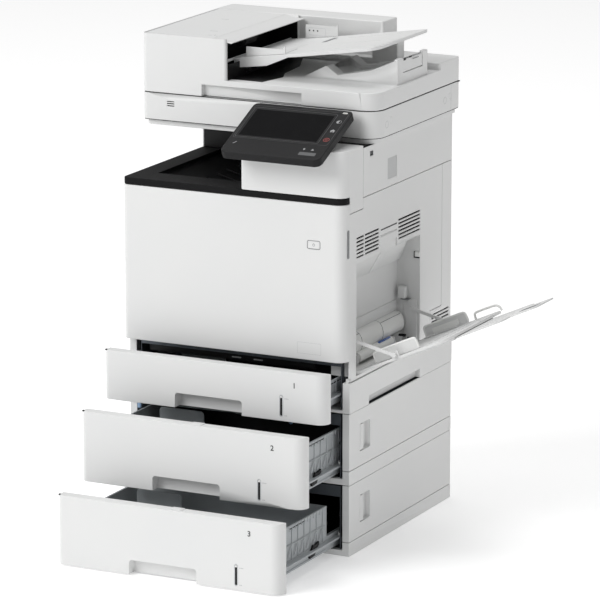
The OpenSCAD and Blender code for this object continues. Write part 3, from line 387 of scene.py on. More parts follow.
class Finish(Enum):
    """The finishes of this machine."""

    # ABS/PC blend, textured tool: a bright cover with no gloss.
    COVER = Moulded("abs_cover_white", "#DFDFDE", "#DADBDB", 0.5)
    # Polystyrene of the paper cassettes: greyer and less even.
    TRAY = Moulded("polystyrene_tray_grey", "#B2B6B8", "#A4A8AB", 0.48, grain_mm=1.6, depth_mm=0.03)
    # ABS of the output tray: black, with a coarse grain that hides scuffs.
    TRAY_BLACK = Moulded(
        "abs_output_tray_black", "#101011", "#151516", 0.58, grain_mm=1.4, depth_mm=0.04, specular=0.12
    )
    # Glass-filled polyamide of the works: nearly black and a little shiny. The same black also paints the
    # deep shade inside bays, trays, the handle pocket, round the recess catch and under the document tray.
    DARK = Moulded(
        "black_works_and_painted_shade", "#0E0E0F", "#151516", 0.44, grain_mm=1.8, depth_mm=0.03, specular=0.2
    )
    # ABS of the panel: charcoal satin.
    PANEL = Moulded("abs_panel_charcoal", "#1F1F20", "#1A1A1B", 0.42, grain_mm=0.9, specular=0.14)
    # Acetal of rollers and catches: creamy white and slippery.
    ACETAL = Moulded("acetal_roller_white", "#F0F0EE", "#E8E9E7", 0.3, grain_mm=2.4, depth_mm=0.01)
    # Acetal coloured to mark what the user may touch.
    ACETAL_BLUE = Moulded("acetal_touch_blue", "#8FA9C6", "#7E9ABA", 0.32, grain_mm=2.0, depth_mm=0.01)
    # Polyester backing sheet: clean white.
    SHEET = Moulded("polyester_backing_white", "#F0F0F0", "#EAEBEB", 0.6, grain_mm=2.0)
    # Plated chassis sheet.
    STEEL = PlatedSheet("zinc_plated_sheet", "#71767C", "#5F646A", 0.48)
    # Plated front stretchers: duller and warmer than the side plates.
    STRETCHER = PlatedSheet("zinc_plated_stretcher", "#8B908F", "#7B807F", 0.55, metallic=0.6)
    # Plated fasteners.
    SCREW = PlatedSheet("zinc_plated_screw", "#B9BCBF", "#A3A7AB", 0.3, patch_mm=3.0)
    RUBBER = GroundRubber("epdm_roller_rubber", "#1A1A1B", "#262628")
    SCREEN = GlossPane("cover_glass_black", "#050506", "#08080A")
    GLASS = ClearGlass("float_glass_clear", "#E6F2EF", "#DCEDE8")
    INK_BLACK = ScreenInk("screen_ink_black", "#1C1C1D", "#2A2A2B")
    INK_GREY = ScreenInk("screen_ink_grey", "#8E9092", "#7F8183")
    INK_WHITE = ScreenInk("screen_ink_white", "#A4A5A6", "#98999B")
    # The same ink printed thin on the charcoal panel.
    INK_DIM = ScreenInk("screen_ink_dim_grey", "#5C5D5E", "#525354")
    INK_RED = ScreenInk("screen_ink_red", "#A04843", "#943F3B")
    # Thin grey ink of small marks; the same grey also paints the shade in the seams of the front plate and of
    # the scanner's rear.
    INK_FAINT = ScreenInk("pale_grey_ink_and_seam_shade", "#B9BBBC", "#B0B2B3")
    # Printed paper label.
    LABEL_GREY = ScreenInk("paper_label_grey", "#C4C5C5", "#BCBDBD", 0.6, 1.2)
    # Shaded slots and seams in white covers.
    SLOT_GREY = Moulded("painted_slot_shade_grey", "#7C7E80", "#727476", 0.5)
    # Lip of the level window.
    RIM_GREY = Moulded("abs_window_grey", "#C9CBCC", "#BEC0C2", 0.42)
    # Black that paints the shade in the scanner's seams and in the lid's hinge notch.
    SEAM = Moulded("painted_seam_shade_black", "#2C2D2E", "#242526", 0.8, grain_mm=1.2, depth_mm=0.05)
    # Lighter grey painted on the panel's raised lines as their edge highlight.
    PANEL_EDGE = Moulded("panel_edge_painted_highlight", "#4A4A4B", "#424243", 0.3, grain_mm=0.9)
    # Milky light guide of the panel's lamp.
    LAMP = Moulded(
        "polycarbonate_lamp_white", "#D9D9D6", "#CFCFCC", 0.25, grain_mm=2.0, depth_mm=0.005, ior=1.58
    )
    # Float of the level window.
    FLOAT_WHITE = Moulded(
        "polypropylene_float_white", "#F2F2F0", "#EAEAE8", 0.3, grain_mm=2.0, depth_mm=0.005, ior=1.49
    )
    # Dyed acetal of the bypass catches.
    DEEP_BLUE = Moulded("acetal_catch_blue", "#3E66B0", "#345AA0", 0.3, grain_mm=2.0, depth_mm=0.01)
    BOARD = CircuitBoard("solder_mask_green", "#0E3B20", "#1F5A34")

    def material(self) -> bpy.types.Material:
        """Returns this finish's material, made once."""
        return bpy.data.materials.get(self.value.name) or self.value.build()


# ---------------------------------------------------------------- shaping


def at(x: float, y: float, z: float) -> Vector:
    """Returns a point given in millimetres as one in metres."""
    return Vector((x * MM, y * MM, z * MM))


def block(low: Point, high: Point, edge: float = 0.4, segments: int = 2) -> Mesh:
    """Makes a block with rounded edges.

    Args:
        low: its lowest corner in millimetres.
        high: its highest corner in millimetres.
        edge: the radius of its edges in millimetres.
        segments: steps across each rounded edge.

    Returns:
        The block.
    """
    bm = bmesh.new()
    bmesh.ops.create_cube(bm, size=1.0)
    size = [(h - l) * MM for l, h in zip(low, high)]
    middle = at(*[(l + h) / 2.0 for l, h in zip(low, high)])
    bmesh.ops.scale(bm, vec=size, verts=bm.verts)
    bmesh.ops.translate(bm, vec=middle, verts=bm.verts)
    if edge > 0.0:
        round_edges(bm, list(bm.edges), min(edge, 0.45 * min(size) / MM), segments)
    return bm


def round_edges(bm: Mesh, edges: Sequence[bmesh.types.BMEdge], radius: float, segments: int = 2) -> None:
    """Rounds edges of a mesh.

    Args:
        bm: the mesh.
        edges: the edges to round.
        radius: the radius in millimetres.
        segments: steps across each rounded edge.
    """
    bmesh.ops.bevel(
        bm,
        geom=list(edges),
        offset=radius * MM,
        offset_type="OFFSET",
        affect="EDGES",
        segments=segments,
        profile=0.5,
        material=-1,
        clamp_overlap=False,
    )


def rod(start: Point, end: Point, radius: float, sides: int = 24, edge: float = 0.0) -> Mesh:
    """Makes a round bar between two points.

    Args:
        start: the middle of one end, in millimetres.
        end: the middle of the other end.
        radius: its radius in millimetres.
        sides: how many flats stand for the round.
        edge: the rounding of its rims.

    Returns:
        The bar.
    """
    a, b = at(*start), at(*end)
    axis = b - a
    turn = Vector((0.0, 0.0, 1.0)).rotation_difference(axis).to_matrix().to_4x4()
    bm = bmesh.new()
    bmesh.ops.create_cone(
        bm,
        cap_ends=True,
        segments=sides,
        radius1=radius * MM,
        radius2=radius * MM,
        depth=axis.length,
        matrix=Matrix.Translation((a + b) / 2.0) @ turn,
    )
    if edge > 0.0:
        rims = [e for e in bm.edges if e.calc_face_angle(0.0) > SHARP_ANGLE]
        round_edges(bm, rims, edge)
    return bm


def slab(corners: Outline, place: Plane, depth: float, edge: float = 0.0) -> Mesh:
    """Makes a flat piece from its outline.

    Args:
        corners: the outline's points in millimetres, in the plane's own x and y.
        place: the plane, whose z points out of the piece's face.
        depth: its thickness in millimetres, below the face.
        edge: the rounding of its rims.

    Returns:
        The slab.
    """
    bm = bmesh.new()
    rim = [bm.verts.new((x * MM, y * MM, 0.0)) for x, y in corners]
    face = bm.faces.new(rim)
    bm.normal_update()
    if face.normal.z < 0.0:
        face.normal_flip()
    grown = bmesh.ops.extrude_face_region(bm, geom=[face])
    lowered = [v for v in grown["geom"] if isinstance(v, bmesh.types.BMVert)]
    bmesh.ops.translate(bm, vec=(0.0, 0.0, -depth * MM), verts=lowered)
    bmesh.ops.recalc_face_normals(bm, faces=bm.faces)
    if edge > 0.0:
        rims = [
            e
            for e in bm.edges if e.calc_face_angle(0.0) > SHARP_ANGLE and all(v.co.z > -WELD for v in e.verts)
        ]
        round_edges(bm, rims, edge)
    bmesh.ops.transform(bm, matrix=place, verts=bm.verts)
    return bm


def rounded(
    width: float,
    height: float,
    radius: float,
    steps: int = 6,
    centre: Spot = (0.0, 0.0),
) -> list[Spot]:
    """Lays out a rectangle with round corners.

    Args:
        width: its size along x, in millimetres.
        height: its size along y.
        radius: the corners' radius.
        steps: flats for each corner.
        centre: its middle.

    Returns:
        The outline, counter-clockwise.
    """
    points = []
    for number, (sx, sy) in enumerate(((1, 1), (-1, 1), (-1, -1), (1, -1))):
        cx = centre[0] + sx * (width / 2.0 - radius)
        cy = centre[1] + sy * (height / 2.0 - radius)
        for step in range(steps + 1):
            angle = math.radians(90.0 * (number + step / steps))
            points.append((cx + radius * math.cos(angle), cy + radius * math.sin(angle)))
    return points


def ring(radius: float, sides: int = 24, centre: Spot = (0.0, 0.0)) -> list[Spot]:
    """Returns a circle's outline in millimetres."""
    return [
        (
            centre[0] + radius * math.cos(2.0 * math.pi * i / sides),
            centre[1] + radius * math.sin(2.0 * math.pi * i / sides),
        )
        for i in range(sides)
    ]


def band(outer: Outline, inner: Outline, place: Plane, depth: float) -> Mesh:
    """Makes a flat frame between two outlines with the same number of points.

    Args:
        outer: the outer outline in millimetres.
        inner: the inner outline.
        place: the plane, whose z points out of the frame's face.
        depth: its thickness below the face.

    Returns:
        The frame.
    """
    bm = bmesh.new()
    loops = []
    for outline in (outer, inner):
        verts = [bm.verts.new((x * MM, y * MM, 0.0)) for x, y in outline]
        loops.append([bm.edges.new((verts[i - 1], verts[i])) for i in range(len(verts))])
    bmesh.ops.bridge_loops(bm, edges=loops[0] + loops[1])
    grown = bmesh.ops.extrude_face_region(bm, geom=list(bm.faces))
    lowered = [v for v in grown["geom"] if isinstance(v, bmesh.types.BMVert)]
    bmesh.ops.translate(bm, vec=(0.0, 0.0, -depth * MM), verts=lowered)
    bmesh.ops.recalc_face_normals(bm, faces=bm.faces)
    bmesh.ops.transform(bm, matrix=place, verts=bm.verts)
    return bm


def plane(origin: Point, across: Vector, up: Vector) -> Plane:
    """Sets a drawing plane in the row frame.

    Args:
        origin: where its 0, 0 is, in millimetres.
        across: its x direction.
        up: its y direction.

    Returns:
        The plane as a matrix whose z is the face's outward normal.
    """
    x, y = across.normalized(), up.normalized()
    z = x.cross(y)
    turn = Matrix((x, y, z)).transposed().to_4x4()
    return Matrix.Translation(at(*origin)) @ turn


def joined(parts: Iterable[Mesh]) -> Mesh:
    """Puts several meshes into one and frees them."""
    whole = bmesh.new()
    holder = bpy.data.meshes.new("holder")
    for part in parts:
        part.to_mesh(holder)
        part.free()
        whole.from_mesh(holder)
    bpy.data.meshes.remove(holder)
    return whole


def piece(
    name: str,
    bm: Mesh,
    body: str,
    finish: Finish,
    stands_for: Sequence[str] = (),
) -> bpy.types.Object:
    """Turns a mesh into a piece that rides on a body.

    Args:
        name: the piece's name.
        bm: its mesh, in place; it is freed.
        body: the body it rides on.
        finish: its finish.
        stands_for: the CAD nodes it takes the place of.

    Returns:
        The piece.
    """
    mesh = bpy.data.meshes.new(name)
    bm.to_mesh(mesh)
    bm.free()
    for polygon in mesh.polygons:
        polygon.use_smooth = True
    mesh.set_sharp_from_angle(angle=SMOOTH_ANGLE)
    mesh.materials.append(finish.material())
    made = bpy.data.objects.new(name, mesh)
    bpy.context.scene.collection.objects.link(made)
    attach(made, body)
    if stands_for:
        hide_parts(*stands_for)
    LOG.info("%s rides on %s", name, body)
    return made


def edge_room(edge: bmesh.types.BMEdge) -> float:
    """Returns how wide the narrower of an edge's two faces is beside it, in metres."""
    rooms = []
    for loop in edge.link_loops:
        start, end = loop.vert.co, loop.link_loop_next.vert.co
        along = (end - start).normalized()
        inward = loop.face.normal.cross(along)
        for share in (0.1, 0.5, 0.9):
            spot = start.lerp(end, share)
            for other in loop.face.edges:
                p, q = (v.co - spot for v in other.verts)
                s, t = p.dot(along), q.dot(along)
                if other != edge and s * t < 0.0:
                    reach = p.dot(inward) + (q - p).dot(inward) * s / (s - t)
                    rooms.append(reach if reach > WELD else 1.0)
    return min(rooms, default=0.0)


@dataclass(frozen=True)
class Softened:
    """A CAD node shown with the small radii of its tool or its pressing."""

    node: str
    finish: Finish
    edge_mm: float = 0.6
    segments: int = 2

    def build(self) -> bpy.types.Object:
        """Makes the softened copy, which stands for the node."""
        source = frame["nodes"][self.node]
        bm = bmesh.new()
        bm.from_mesh(source.data)
        bmesh.ops.remove_doubles(bm, verts=bm.verts, dist=WELD)
        bmesh.ops.dissolve_limit(bm, angle_limit=FLAT_ANGLE, verts=bm.verts, edges=bm.edges)
        radius = self.edge_mm * MM
        edges = [
            e
            for e in bm.edges
            if len(e.link_faces) == 2
            and e.is_convex
            and e.calc_face_angle(0.0) > SHARP_ANGLE
            and edge_room(e) > ROOM_PER_RADIUS * radius
        ]
        if edges:
            round_edges(bm, edges, self.edge_mm, self.segments)
        wide = [f for f in bm.faces if len(f.verts) > 4]
        bmesh.ops.triangulate(bm, faces=wide, ngon_method="BEAUTY")
        body = next(name for name, empty in frame["bodies"].items() if source.parent == empty)
        made = piece(self.node + "_moulding", bm, body, self.finish, (self.node,))
        even = made.modifiers.new("even_shading", "WEIGHTED_NORMAL")
        even.keep_sharp = True
        return made


# ---------------------------------------------------------------- studio


@dataclass
class Studio:
    """The pale floor, the soft lights and the camera."""

    camera_at: Point = (3743.4, -7536.95, 2436.67)
    camera_turn: Point = (76.661, 0.0, 26.313)
    lens_mm: float = 258.4
    sensor_mm: float = 36.0
    floor_mm: float = 30000.0

    def build(self) -> None:
        """Sets the floor, world, lights and camera."""
        self.floor()
        self.world()
        # Key light high on the left front, a weaker one on the right, and one from above.
        self.light("key_light", (-5500, -9000, 7600), (0, 0, 500), 6500, 830.0)
        self.light("side_light", (5200, 600, 1500), (0, 0, 450), 2600, 6.0)
        self.light("top_light", (-600, 1000, 9500), (0, 0, 700), 6000, 330.0)
        self.camera()

    def floor(self) -> None:
        """Lays the floor."""
        bm = bmesh.new()
        bmesh.ops.create_grid(bm, x_segments=1, y_segments=1, size=self.floor_mm * MM / 2.0)
        mesh = bpy.data.meshes.new("studio_floor")
        bm.to_mesh(mesh)
        bm.free()
        mesh.materials.append(StudioFloor().build())
        made = bpy.data.objects.new("studio_floor", mesh)
        bpy.context.scene.collection.objects.link(made)

    def world(self) -> None:
        """Lights the room evenly from all around."""
        world = bpy.data.worlds.new("studio_room")
        world.use_nodes = True
        back = world.node_tree.nodes["Background"]
        back.inputs["Color"].default_value = linear("#FFFFFF")
        back.inputs["Strength"].default_value = 0.4
        bpy.context.scene.world = world

    def light(self, name: str, spot: Point, target: Point, size: float, power: float) -> None:
        """Hangs a square soft box.

        Args:
            name: the light's name.
            spot: where it hangs, in millimetres.
            target: the point it faces.
            size: its side in millimetres.
            power: its power in watts.
        """
        lamp = bpy.data.lights.new(name, "AREA")
        lamp.shape = "SQUARE"
        lamp.size = size * MM
        lamp.energy = power
        made = bpy.data.objects.new(name, lamp)
        made.location = at(*spot)
        made.rotation_euler = (at(*target) - at(*spot)).to_track_quat("-Z", "Y").to_euler()
        bpy.context.scene.collection.objects.link(made)

    def camera(self) -> None:
        """Sets the camera, and a plain tone curve so that white plastic stays white."""
        data = bpy.data.cameras.new("studio_camera")
        data.lens = self.lens_mm
        data.sensor_width = self.sensor_mm
        data.clip_end = 200.0
        made = bpy.data.objects.new("studio_camera", data)
        made.location = at(*self.camera_at)
        made.rotation_euler = [math.radians(a) for a in self.camera_turn]
        bpy.context.scene.collection.objects.link(made)
        bpy.context.scene.camera = made
        bpy.context.scene.view_settings.view_transform = "Standard"


# ---------------------------------------------------------------- the covers and works


SLOT_FINISH = {
    "cover_white": Finish.COVER,
    "tray_plastic": Finish.TRAY,
    "frame_steel": Finish.STEEL,
    "dark_plastic": Finish.DARK,
    "black_plastic": Finish.TRAY_BLACK,
    "rubber_roller": Finish.RUBBER,
    "white_roller": Finish.ACETAL,
    "platen_glass": Finish.GLASS,
    "white_sheet": Finish.SHEET,
    "panel_plastic": Finish.PANEL,
    "screen_gloss": Finish.SCREEN,
    "board_green": Finish.BOARD,
    "screw_steel": Finish.SCREW,
}

EDGE_GROUPS = {
    2.2: ("document_feeder",),
    1.4: ("panel_housing",),
    1.2: (
        "front_cover", "drawer_1_front", "drawer_2_front", "drawer_3_front", "control_column",
        "output_tray",
    ),
    1.0: ("upper_right_cover", "scanner_case", "feed_cover"),
    0.8: (
        "right_door", "scanner_base", "base_tray", "left_cover", "rear_cover",
        "feeder_left_covers", "feeder_rear_covers", "upper_feeder_door", "lower_feeder_door",
        "feeder_bases",
    ),
    0.4: ("platen_sheet",),
    0.35: ("feeder_frames", "main_frame"),
    0.3: ("platen_glass",),
    0.25: ("screws",),
}
EDGE_MM = {node: radius for radius, nodes in EDGE_GROUPS.items() for node in nodes}
PLAIN_EDGE_MM = 0.5


X_AXIS = Vector((1.0, 0.0, 0.0))
Y_AXIS = Vector((0.0, 1.0, 0.0))
Z_AXIS = Vector((0.0, 0.0, 1.0))


def box_mm(node: str) -> tuple[Point, Point]:
    """Returns a CAD node's lowest and highest corner at rest, in millimetres."""
    low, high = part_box(node)
    return tuple(round(c / MM, 2) for c in low), tuple(round(c / MM, 2) for c in high)


FRONT_Y = box_mm("front_cover")[0][1]


def front_face(y: float) -> Plane:
    """Returns the plane of a front face: its points are given as X and Z."""
    return plane((0.0, y, 0.0), X_AXIS, Z_AXIS)


def right_face(x: float) -> Plane:
    """Returns the plane of a right-hand face: its points are given as Y and Z."""
    return plane((x, 0.0, 0.0), Y_AXIS, Z_AXIS)


def top_face(z: float) -> Plane:
    """Returns the plane of a top face: its points are given as X and Y."""
    return plane((0.0, 0.0, z), X_AXIS, Y_AXIS)


def rounded_box(low: Spot, high: Spot, radii: Sequence[float], steps: int = 10) -> list[Spot]:
    """Lays out a rectangle whose four corners have their own radii.

    Args:
        low: its lowest corner in millimetres.
        high: its highest corner.
        radii: of the corners front left, front right, back right and back left.
        steps: flats for each corner.

    Returns:
        The outline, counter-clockwise from the front left.
    """
    corners = (
        (low[0], low[1], 1, 1), (high[0], low[1], -1, 1), (high[0], high[1], -1, -1),
        (low[0], high[1], 1, -1),
    )
    points = []
    for number, (x, y, sx, sy) in enumerate(corners):
        r = radii[number]
        for step in range(steps + 1):
            angle = math.radians(180.0 + 90.0 * (number + step / steps))
            points.append((x + sx * r + r * math.cos(angle), y + sy * r + r * math.sin(angle)))
    return points


def lathe(profile: Outline, place: Plane, sides: int = 20) -> Mesh:
    """Turns a profile about the z axis of a plane.

    Args:
        profile: radius and height pairs in millimetres, from one pole to the other.
        place: the plane whose z is the axis.
        sides: steps round.

    Returns:
        The closed turned shape.
    """
    bm = bmesh.new()
    verts = [bm.verts.new((r * MM, 0.0, h * MM)) for r, h in profile]
    edges = [bm.edges.new((a, b)) for a, b in zip(verts, verts[1:])]
    bmesh.ops.spin(
        bm,
        geom=verts + edges,
        cent=(0.0, 0.0, 0.0),
        axis=(0.0, 0.0, 1.0),
        angle=2.0 * math.pi,
        steps=sides,
        use_merge=True,
    )
    bmesh.ops.remove_doubles(bm, verts=bm.verts, dist=WELD)
    bmesh.ops.recalc_face_normals(bm, faces=bm.faces)
    bmesh.ops.transform(bm, matrix=place, verts=bm.verts)
    return bm


def from_curve(curve: bpy.types.Curve) -> Mesh:
    """Turns a curve or a text into a mesh and removes the curve."""
    holder = bpy.data.objects.new("holder", curve)
    mesh = bpy.data.meshes.new_from_object(holder)
    bm = bmesh.new()
    bm.from_mesh(mesh)
    bmesh.ops.remove_doubles(bm, verts=bm.verts, dist=WELD)
    bpy.data.objects.remove(holder)
    bpy.data.curves.remove(curve)
    bpy.data.meshes.remove(mesh)
    return bm


def numeral(text: str, height: float, place: Plane, depth: float = 0.25) -> Mesh:
    """Makes a printed numeral as a thin solid.

    Args:
        text: the numeral.
        height: the height of its figures in millimetres.
        place: the plane it is printed on, with the numeral's middle at 0, 0.
        depth: how thick the print is.

    Returns:
        The numeral.
    """
    curve = bpy.data.curves.new("numeral", "FONT")
    curve.body = text
    curve.align_x = "CENTER"
    curve.align_y = "CENTER"
    curve.size = height * MM / FIGURE_PER_SIZE
    curve.extrude = depth * MM / 2.0
    curve.offset = height * MM * 0.022
    bm = from_curve(curve)
    bmesh.ops.transform(bm, matrix=place, verts=bm.verts)
    return bm


def wire(points: Sequence[Point], radius: float, place: Plane) -> Mesh:
    """Bends a round wire through points.

    Args:
        points: the wire's points in millimetres.
        radius: its radius.
        place: the frame the points are given in.

    Returns:
        The wire with closed ends.
    """
    curve = bpy.data.curves.new("wire", "CURVE")
    curve.dimensions = "3D"
    spline = curve.splines.new("NURBS")
    spline.points.add(len(points) - 1)
    for point, spot in zip(spline.points, points):
        point.co = (*at(*spot), 1.0)
    spline.order_u = 3
    spline.use_endpoint_u = True
    curve.resolution_u = 5
    curve.bevel_depth = radius * MM
    curve.bevel_resolution = 3
    curve.use_fill_caps = True
    bm = from_curve(curve)
    bmesh.ops.recalc_face_normals(bm, faces=bm.faces)
    bmesh.ops.transform(bm, matrix=place, verts=bm.verts)
    return bm


@dataclass
class Panel:
    """Bezel line, keys, lamp, marks and stay feet of the tilting touch panel."""

    origin: Point = (4.0, -328.0, 805.0)
    tilt: float = 24.0
    print_mm: float = 0.2
    key_x: float = 199.0
    key_rows: dict[str, float] = field(
        default_factory=lambda: {"lamp": 161.5, "sleep": 131.4, "home": 100.4, "stop": 70.2}
    )

    def face(self, lift: float, centre: Spot = (0.0, 0.0)) -> Plane:
        """Returns the panel's face, lifted by some millimetres, with 0, 0 at centre."""
        angle = math.radians(self.tilt)
        up = Vector((0.0, math.cos(angle), math.sin(angle)))
        base = plane(self.origin, X_AXIS, up)
        return base @ Matrix.Translation((centre[0] * MM, centre[1] * MM, lift * MM))

    def build(self) -> None:
        """Makes every piece of the panel."""
        self.bezel()
        self.keys()
        self.marks()

    def bezel(self) -> None:
        """Makes the two raised lines round the screen and the key column; their lighter grey is a painted
        edge highlight.
        """
        screen = band(
            rounded(179.0, 101.0, 4.0), rounded(177.2, 99.2, 3.2), self.face(0.5, (98.0, 105.0)), 0.8
        )
        rim = band(
            rounded(203.0, 110.0, 5.0), rounded(201.8, 108.8, 4.4), self.face(0.35, (107.0, 106.0)), 0.6
        )
        piece("panel_bezel_line", joined([screen, rim]), "panel", Finish.PANEL_EDGE)

    def keys(self) -> None:
        """Prints the lamp, the sleep, home and stop keys."""
        lift = self.print_mm
        rows = self.key_rows
        lamp = slab(rounded(10.5, 4.6, 1.6), self.face(lift, (self.key_x, rows["lamp"])), 0.5)
        piece("panel_lamp", lamp, "panel", Finish.LAMP)
        moon = [
            (4.6 * math.cos(math.radians(a)), 4.6 * math.sin(math.radians(a)))
            for a in range(90, 271, 12)
        ]
        sleep = self.face(lift, (self.key_x, rows["sleep"]))
        parts = [slab(moon, sleep, 0.5), band(ring(5.2), ring(4.6), sleep, 0.4)]
        house = [
            (-5.4, 0.2), (0, 5.0), (5.4, 0.2), (3.8, 0.2), (3.8, -4.4), (1.2, -4.4), (1.2, -1.0),
            (-1.2, -1.0), (-1.2, -4.4), (-3.8, -4.4), (-3.8, 0.2),
        ]
        parts.append(slab(house, self.face(lift, (self.key_x, rows["home"])), 0.5))
        piece("panel_key_print", joined(parts), "panel", Finish.INK_WHITE)
        stop = self.face(lift, (self.key_x, rows["stop"]))
        parts = [band(ring(6.2), ring(5.0), stop, 0.4), band(ring(2.5, 8), ring(1.5, 8), stop, 0.4)]
        piece("panel_stop_key", joined(parts), "panel", Finish.INK_RED)

    def marks(self) -> None:
        """Prints the small marks under the screen and adds the stay's two feet."""
        lift = self.print_mm
        lean = Matrix.Rotation(math.atan2(7.0, 5.2), 4, "Z")
        parts = [
            slab(rounded(9.0, 1.5, 0.7), self.face(lift, (18.8, 34.6)) @ lean, 0.4),
            slab([(0, 3.2), (-2.6, 0), (0, -3.2), (2.6, 0)], self.face(lift, (168.1, 34.0)), 0.4),
            slab([(-3.2, -2.4), (3.2, -2.4), (0, 3.2)], self.face(lift, (186.0, 34.0)), 0.4),
        ]
        piece("panel_mark_print", joined(parts), "panel", Finish.INK_WHITE)
        piece(
            "panel_reader_mark",
            slab(rounded(35.5, 10.0, 1.4), self.face(lift, (180.8, 19.0)), 0.4),
            "panel",
            Finish.INK_DIM,
        )
        feet = [
            block((70, -296, 797), (78, -290, 803), 1.0), block((150, -296, 797), (158, -290, 803), 1.0)
        ]
        piece("panel_stay_feet", joined(feet), "chassis", Finish.PANEL)


@dataclass
class Drawer:
    """Numeral, level window, latch and shade-painting lining of one paper drawer."""

    number: int
    numeral_drop: float
    window_x: float = 147.0
    tray_x: float = 208.0
    tray_depth: float = 245.0
    rib_pitch: float = 13.2
    front: float = field(init=False)
    foot: float = field(init=False)
    top: float = field(init=False)
    back: float = field(init=False)
    tray_foot: float = field(init=False)
    tray_top: float = field(init=False)

    def __post_init__(self) -> None:
        """Reads where the front's face and the tray's front wall are at rest."""
        low, high = box_mm(self.name("front"))
        self.front, self.foot, self.top = low[1], low[2], high[2]
        low, high = box_mm(self.name("tray"))
        self.back, self.tray_foot, self.tray_top = low[1], low[2], high[2]

    @property
    def body(self) -> str:
        """The body this drawer's pieces ride on."""
        return f"drawer_{self.number}"

    def name(self, part: str) -> str:
        """Returns a piece's name."""
        return f"{self.body}_{part}"

    def build(self) -> None:
        """Makes every piece of the drawer."""
        self.front_print()
        self.window()
        self.catches()
        self.lining()
        self.side_works()

    def front_print(self) -> None:
        """Prints the numeral and the level marks."""
        place = plane((175.0, self.front - 0.15, self.top - self.numeral_drop), X_AXIS, Z_AXIS)
        piece(
            self.name("numeral"),
            numeral(str(self.number), 10.4, place, 0.3),
            self.body,
            Finish.INK_BLACK,
        )
        face = front_face(self.front - 0.12)
        marks = []
        for z, count in ((self.foot + 45.3, 3), (self.foot + 11.5, 2)):
            for k in range(count):
                marks.append(slab(rounded(2.2, 1.7, 0.5, 3, (155.4 + 3.1 * k, z)), face, 0.3))
        piece(self.name("level_marks"), joined(marks), self.body, Finish.INK_FAINT)

    def window(self) -> None:
        """Makes the level window: a rim, a dark slot and the white float."""
        middle = (self.window_x, self.foot + 30.75)
        rim = band(
            rounded(8.6, 44.4, 4.3, 8, middle),
            rounded(5.0, 40.8, 2.5, 8, middle),
            front_face(self.front - 0.35),
            1.4,
        )
        piece(self.name("window_rim"), rim, self.body, Finish.RIM_GREY)
        dark = slab(rounded(5.6, 41.4, 2.8, 8, middle), front_face(self.front + 1.0), 1.2)
        piece(self.name("window_slot"), dark, self.body, Finish.DARK)
        ball = [(0.0, 2.0), (1.2, 1.7), (2.0, 1.0), (2.3, 0.0), (2.0, -1.0), (0.0, -1.4)]
        spot = plane((self.window_x, self.front + 0.4, self.foot + 48.0), X_AXIS, Z_AXIS)
        piece(self.name("window_float"), lathe(ball, spot), self.body, Finish.FLOAT_WHITE)

    def catches(self) -> None:
        """Makes the pin and the tab on the front's top edge."""
        pin = lathe(
            [(0.0, 1.8), (1.6, 1.6), (2.4, 0.9), (2.4, -1.0), (0.0, -1.2)],
            plane((-239.2, self.front + 4.5, self.top), X_AXIS, Y_AXIS),
        )
        piece(self.name("front_pin"), pin, self.body, Finish.DARK)
        if self.number > 1:
            x0 = 2.0 if self.number == 3 else -5.0
            tab = joined([
                block(
                    (x0, self.front + 6, self.top - 1),
                    (x0 + 25, self.front + 22, self.top + 1.6),
                    0.8,
                    3,
                ),
                block(
                    (x0 + 5, self.front + 9, self.top + 0.6),
                    (x0 + 20, self.front + 19, self.top + 1.9),
                    0.4,
                ),
            ])
            piece(self.name("front_tab"), tab, self.body, Finish.COVER)

    def lining(self) -> None:
        """Lays dark sheets that paint the shade inside the tray, on its rear wall and lift plate and on the
        first tray's floor; the third tray gets a plated lift-plate sheet, a divider tower and gears instead.
        """
        low = self.tray_foot + 4.0
        rear = self.back + self.tray_depth
        if self.number < 3:
            # A dark sheet on the rear wall that paints the shade deep in the tray.
            wall = block((-203.5, rear - 5.2, low), (203.5, rear - 4.2, self.tray_top - 4), 0.2, 1)
            piece(self.name("rear_lining"), wall, self.body, Finish.DARK)
        sheet_top = low + 6.35
        mat = block((-26, self.back + 13, sheet_top - 0.2), (192, rear - 13, sheet_top + 0.25), 0.1, 1)
        # The upper trays' lift plates get a dark sheet that paints their shade; the third gets plated steel.
        finish = Finish.DARK if self.number < 3 else Finish.STEEL
        piece(self.name("plate_sheet"), mat, f"{self.body}_lift_plate", finish)
        if self.number == 3:
            tower = joined([
                block((-24, self.back + 60, low + 7), (-4, self.back + 84, self.tray_top - 3), 1.2, 2),
                block((-20, self.back + 84, low + 7), (58, self.back + 118, self.tray_top - 18), 1.5, 2),
            ])
            piece(
                self.name("divider_block"), tower, f"{self.body}_lift_plate", Finish.ACETAL,
            )
            gears = [
                rod(
                    (x, self.back + 83.6, self.tray_top - 30),
                    (x, self.back + 81.4, self.tray_top - 30),
                    8.5,
                    24,
                    0.4,
                )
                for x in (8, 28, 44)
            ]
            piece(
                self.name("divider_gears"), joined(gears), f"{self.body}_lift_plate", Finish.STEEL,
            )
        if self.number == 1:
            # A dark sheet on the first tray's floor that paints the shade there.
            floor = block((-203.5, self.back + 4.5, low + 0.05), (-37, rear - 5.5, low + 0.6), 0.2, 1)
            piece(self.name("floor_sheet"), floor, self.body, Finish.DARK)

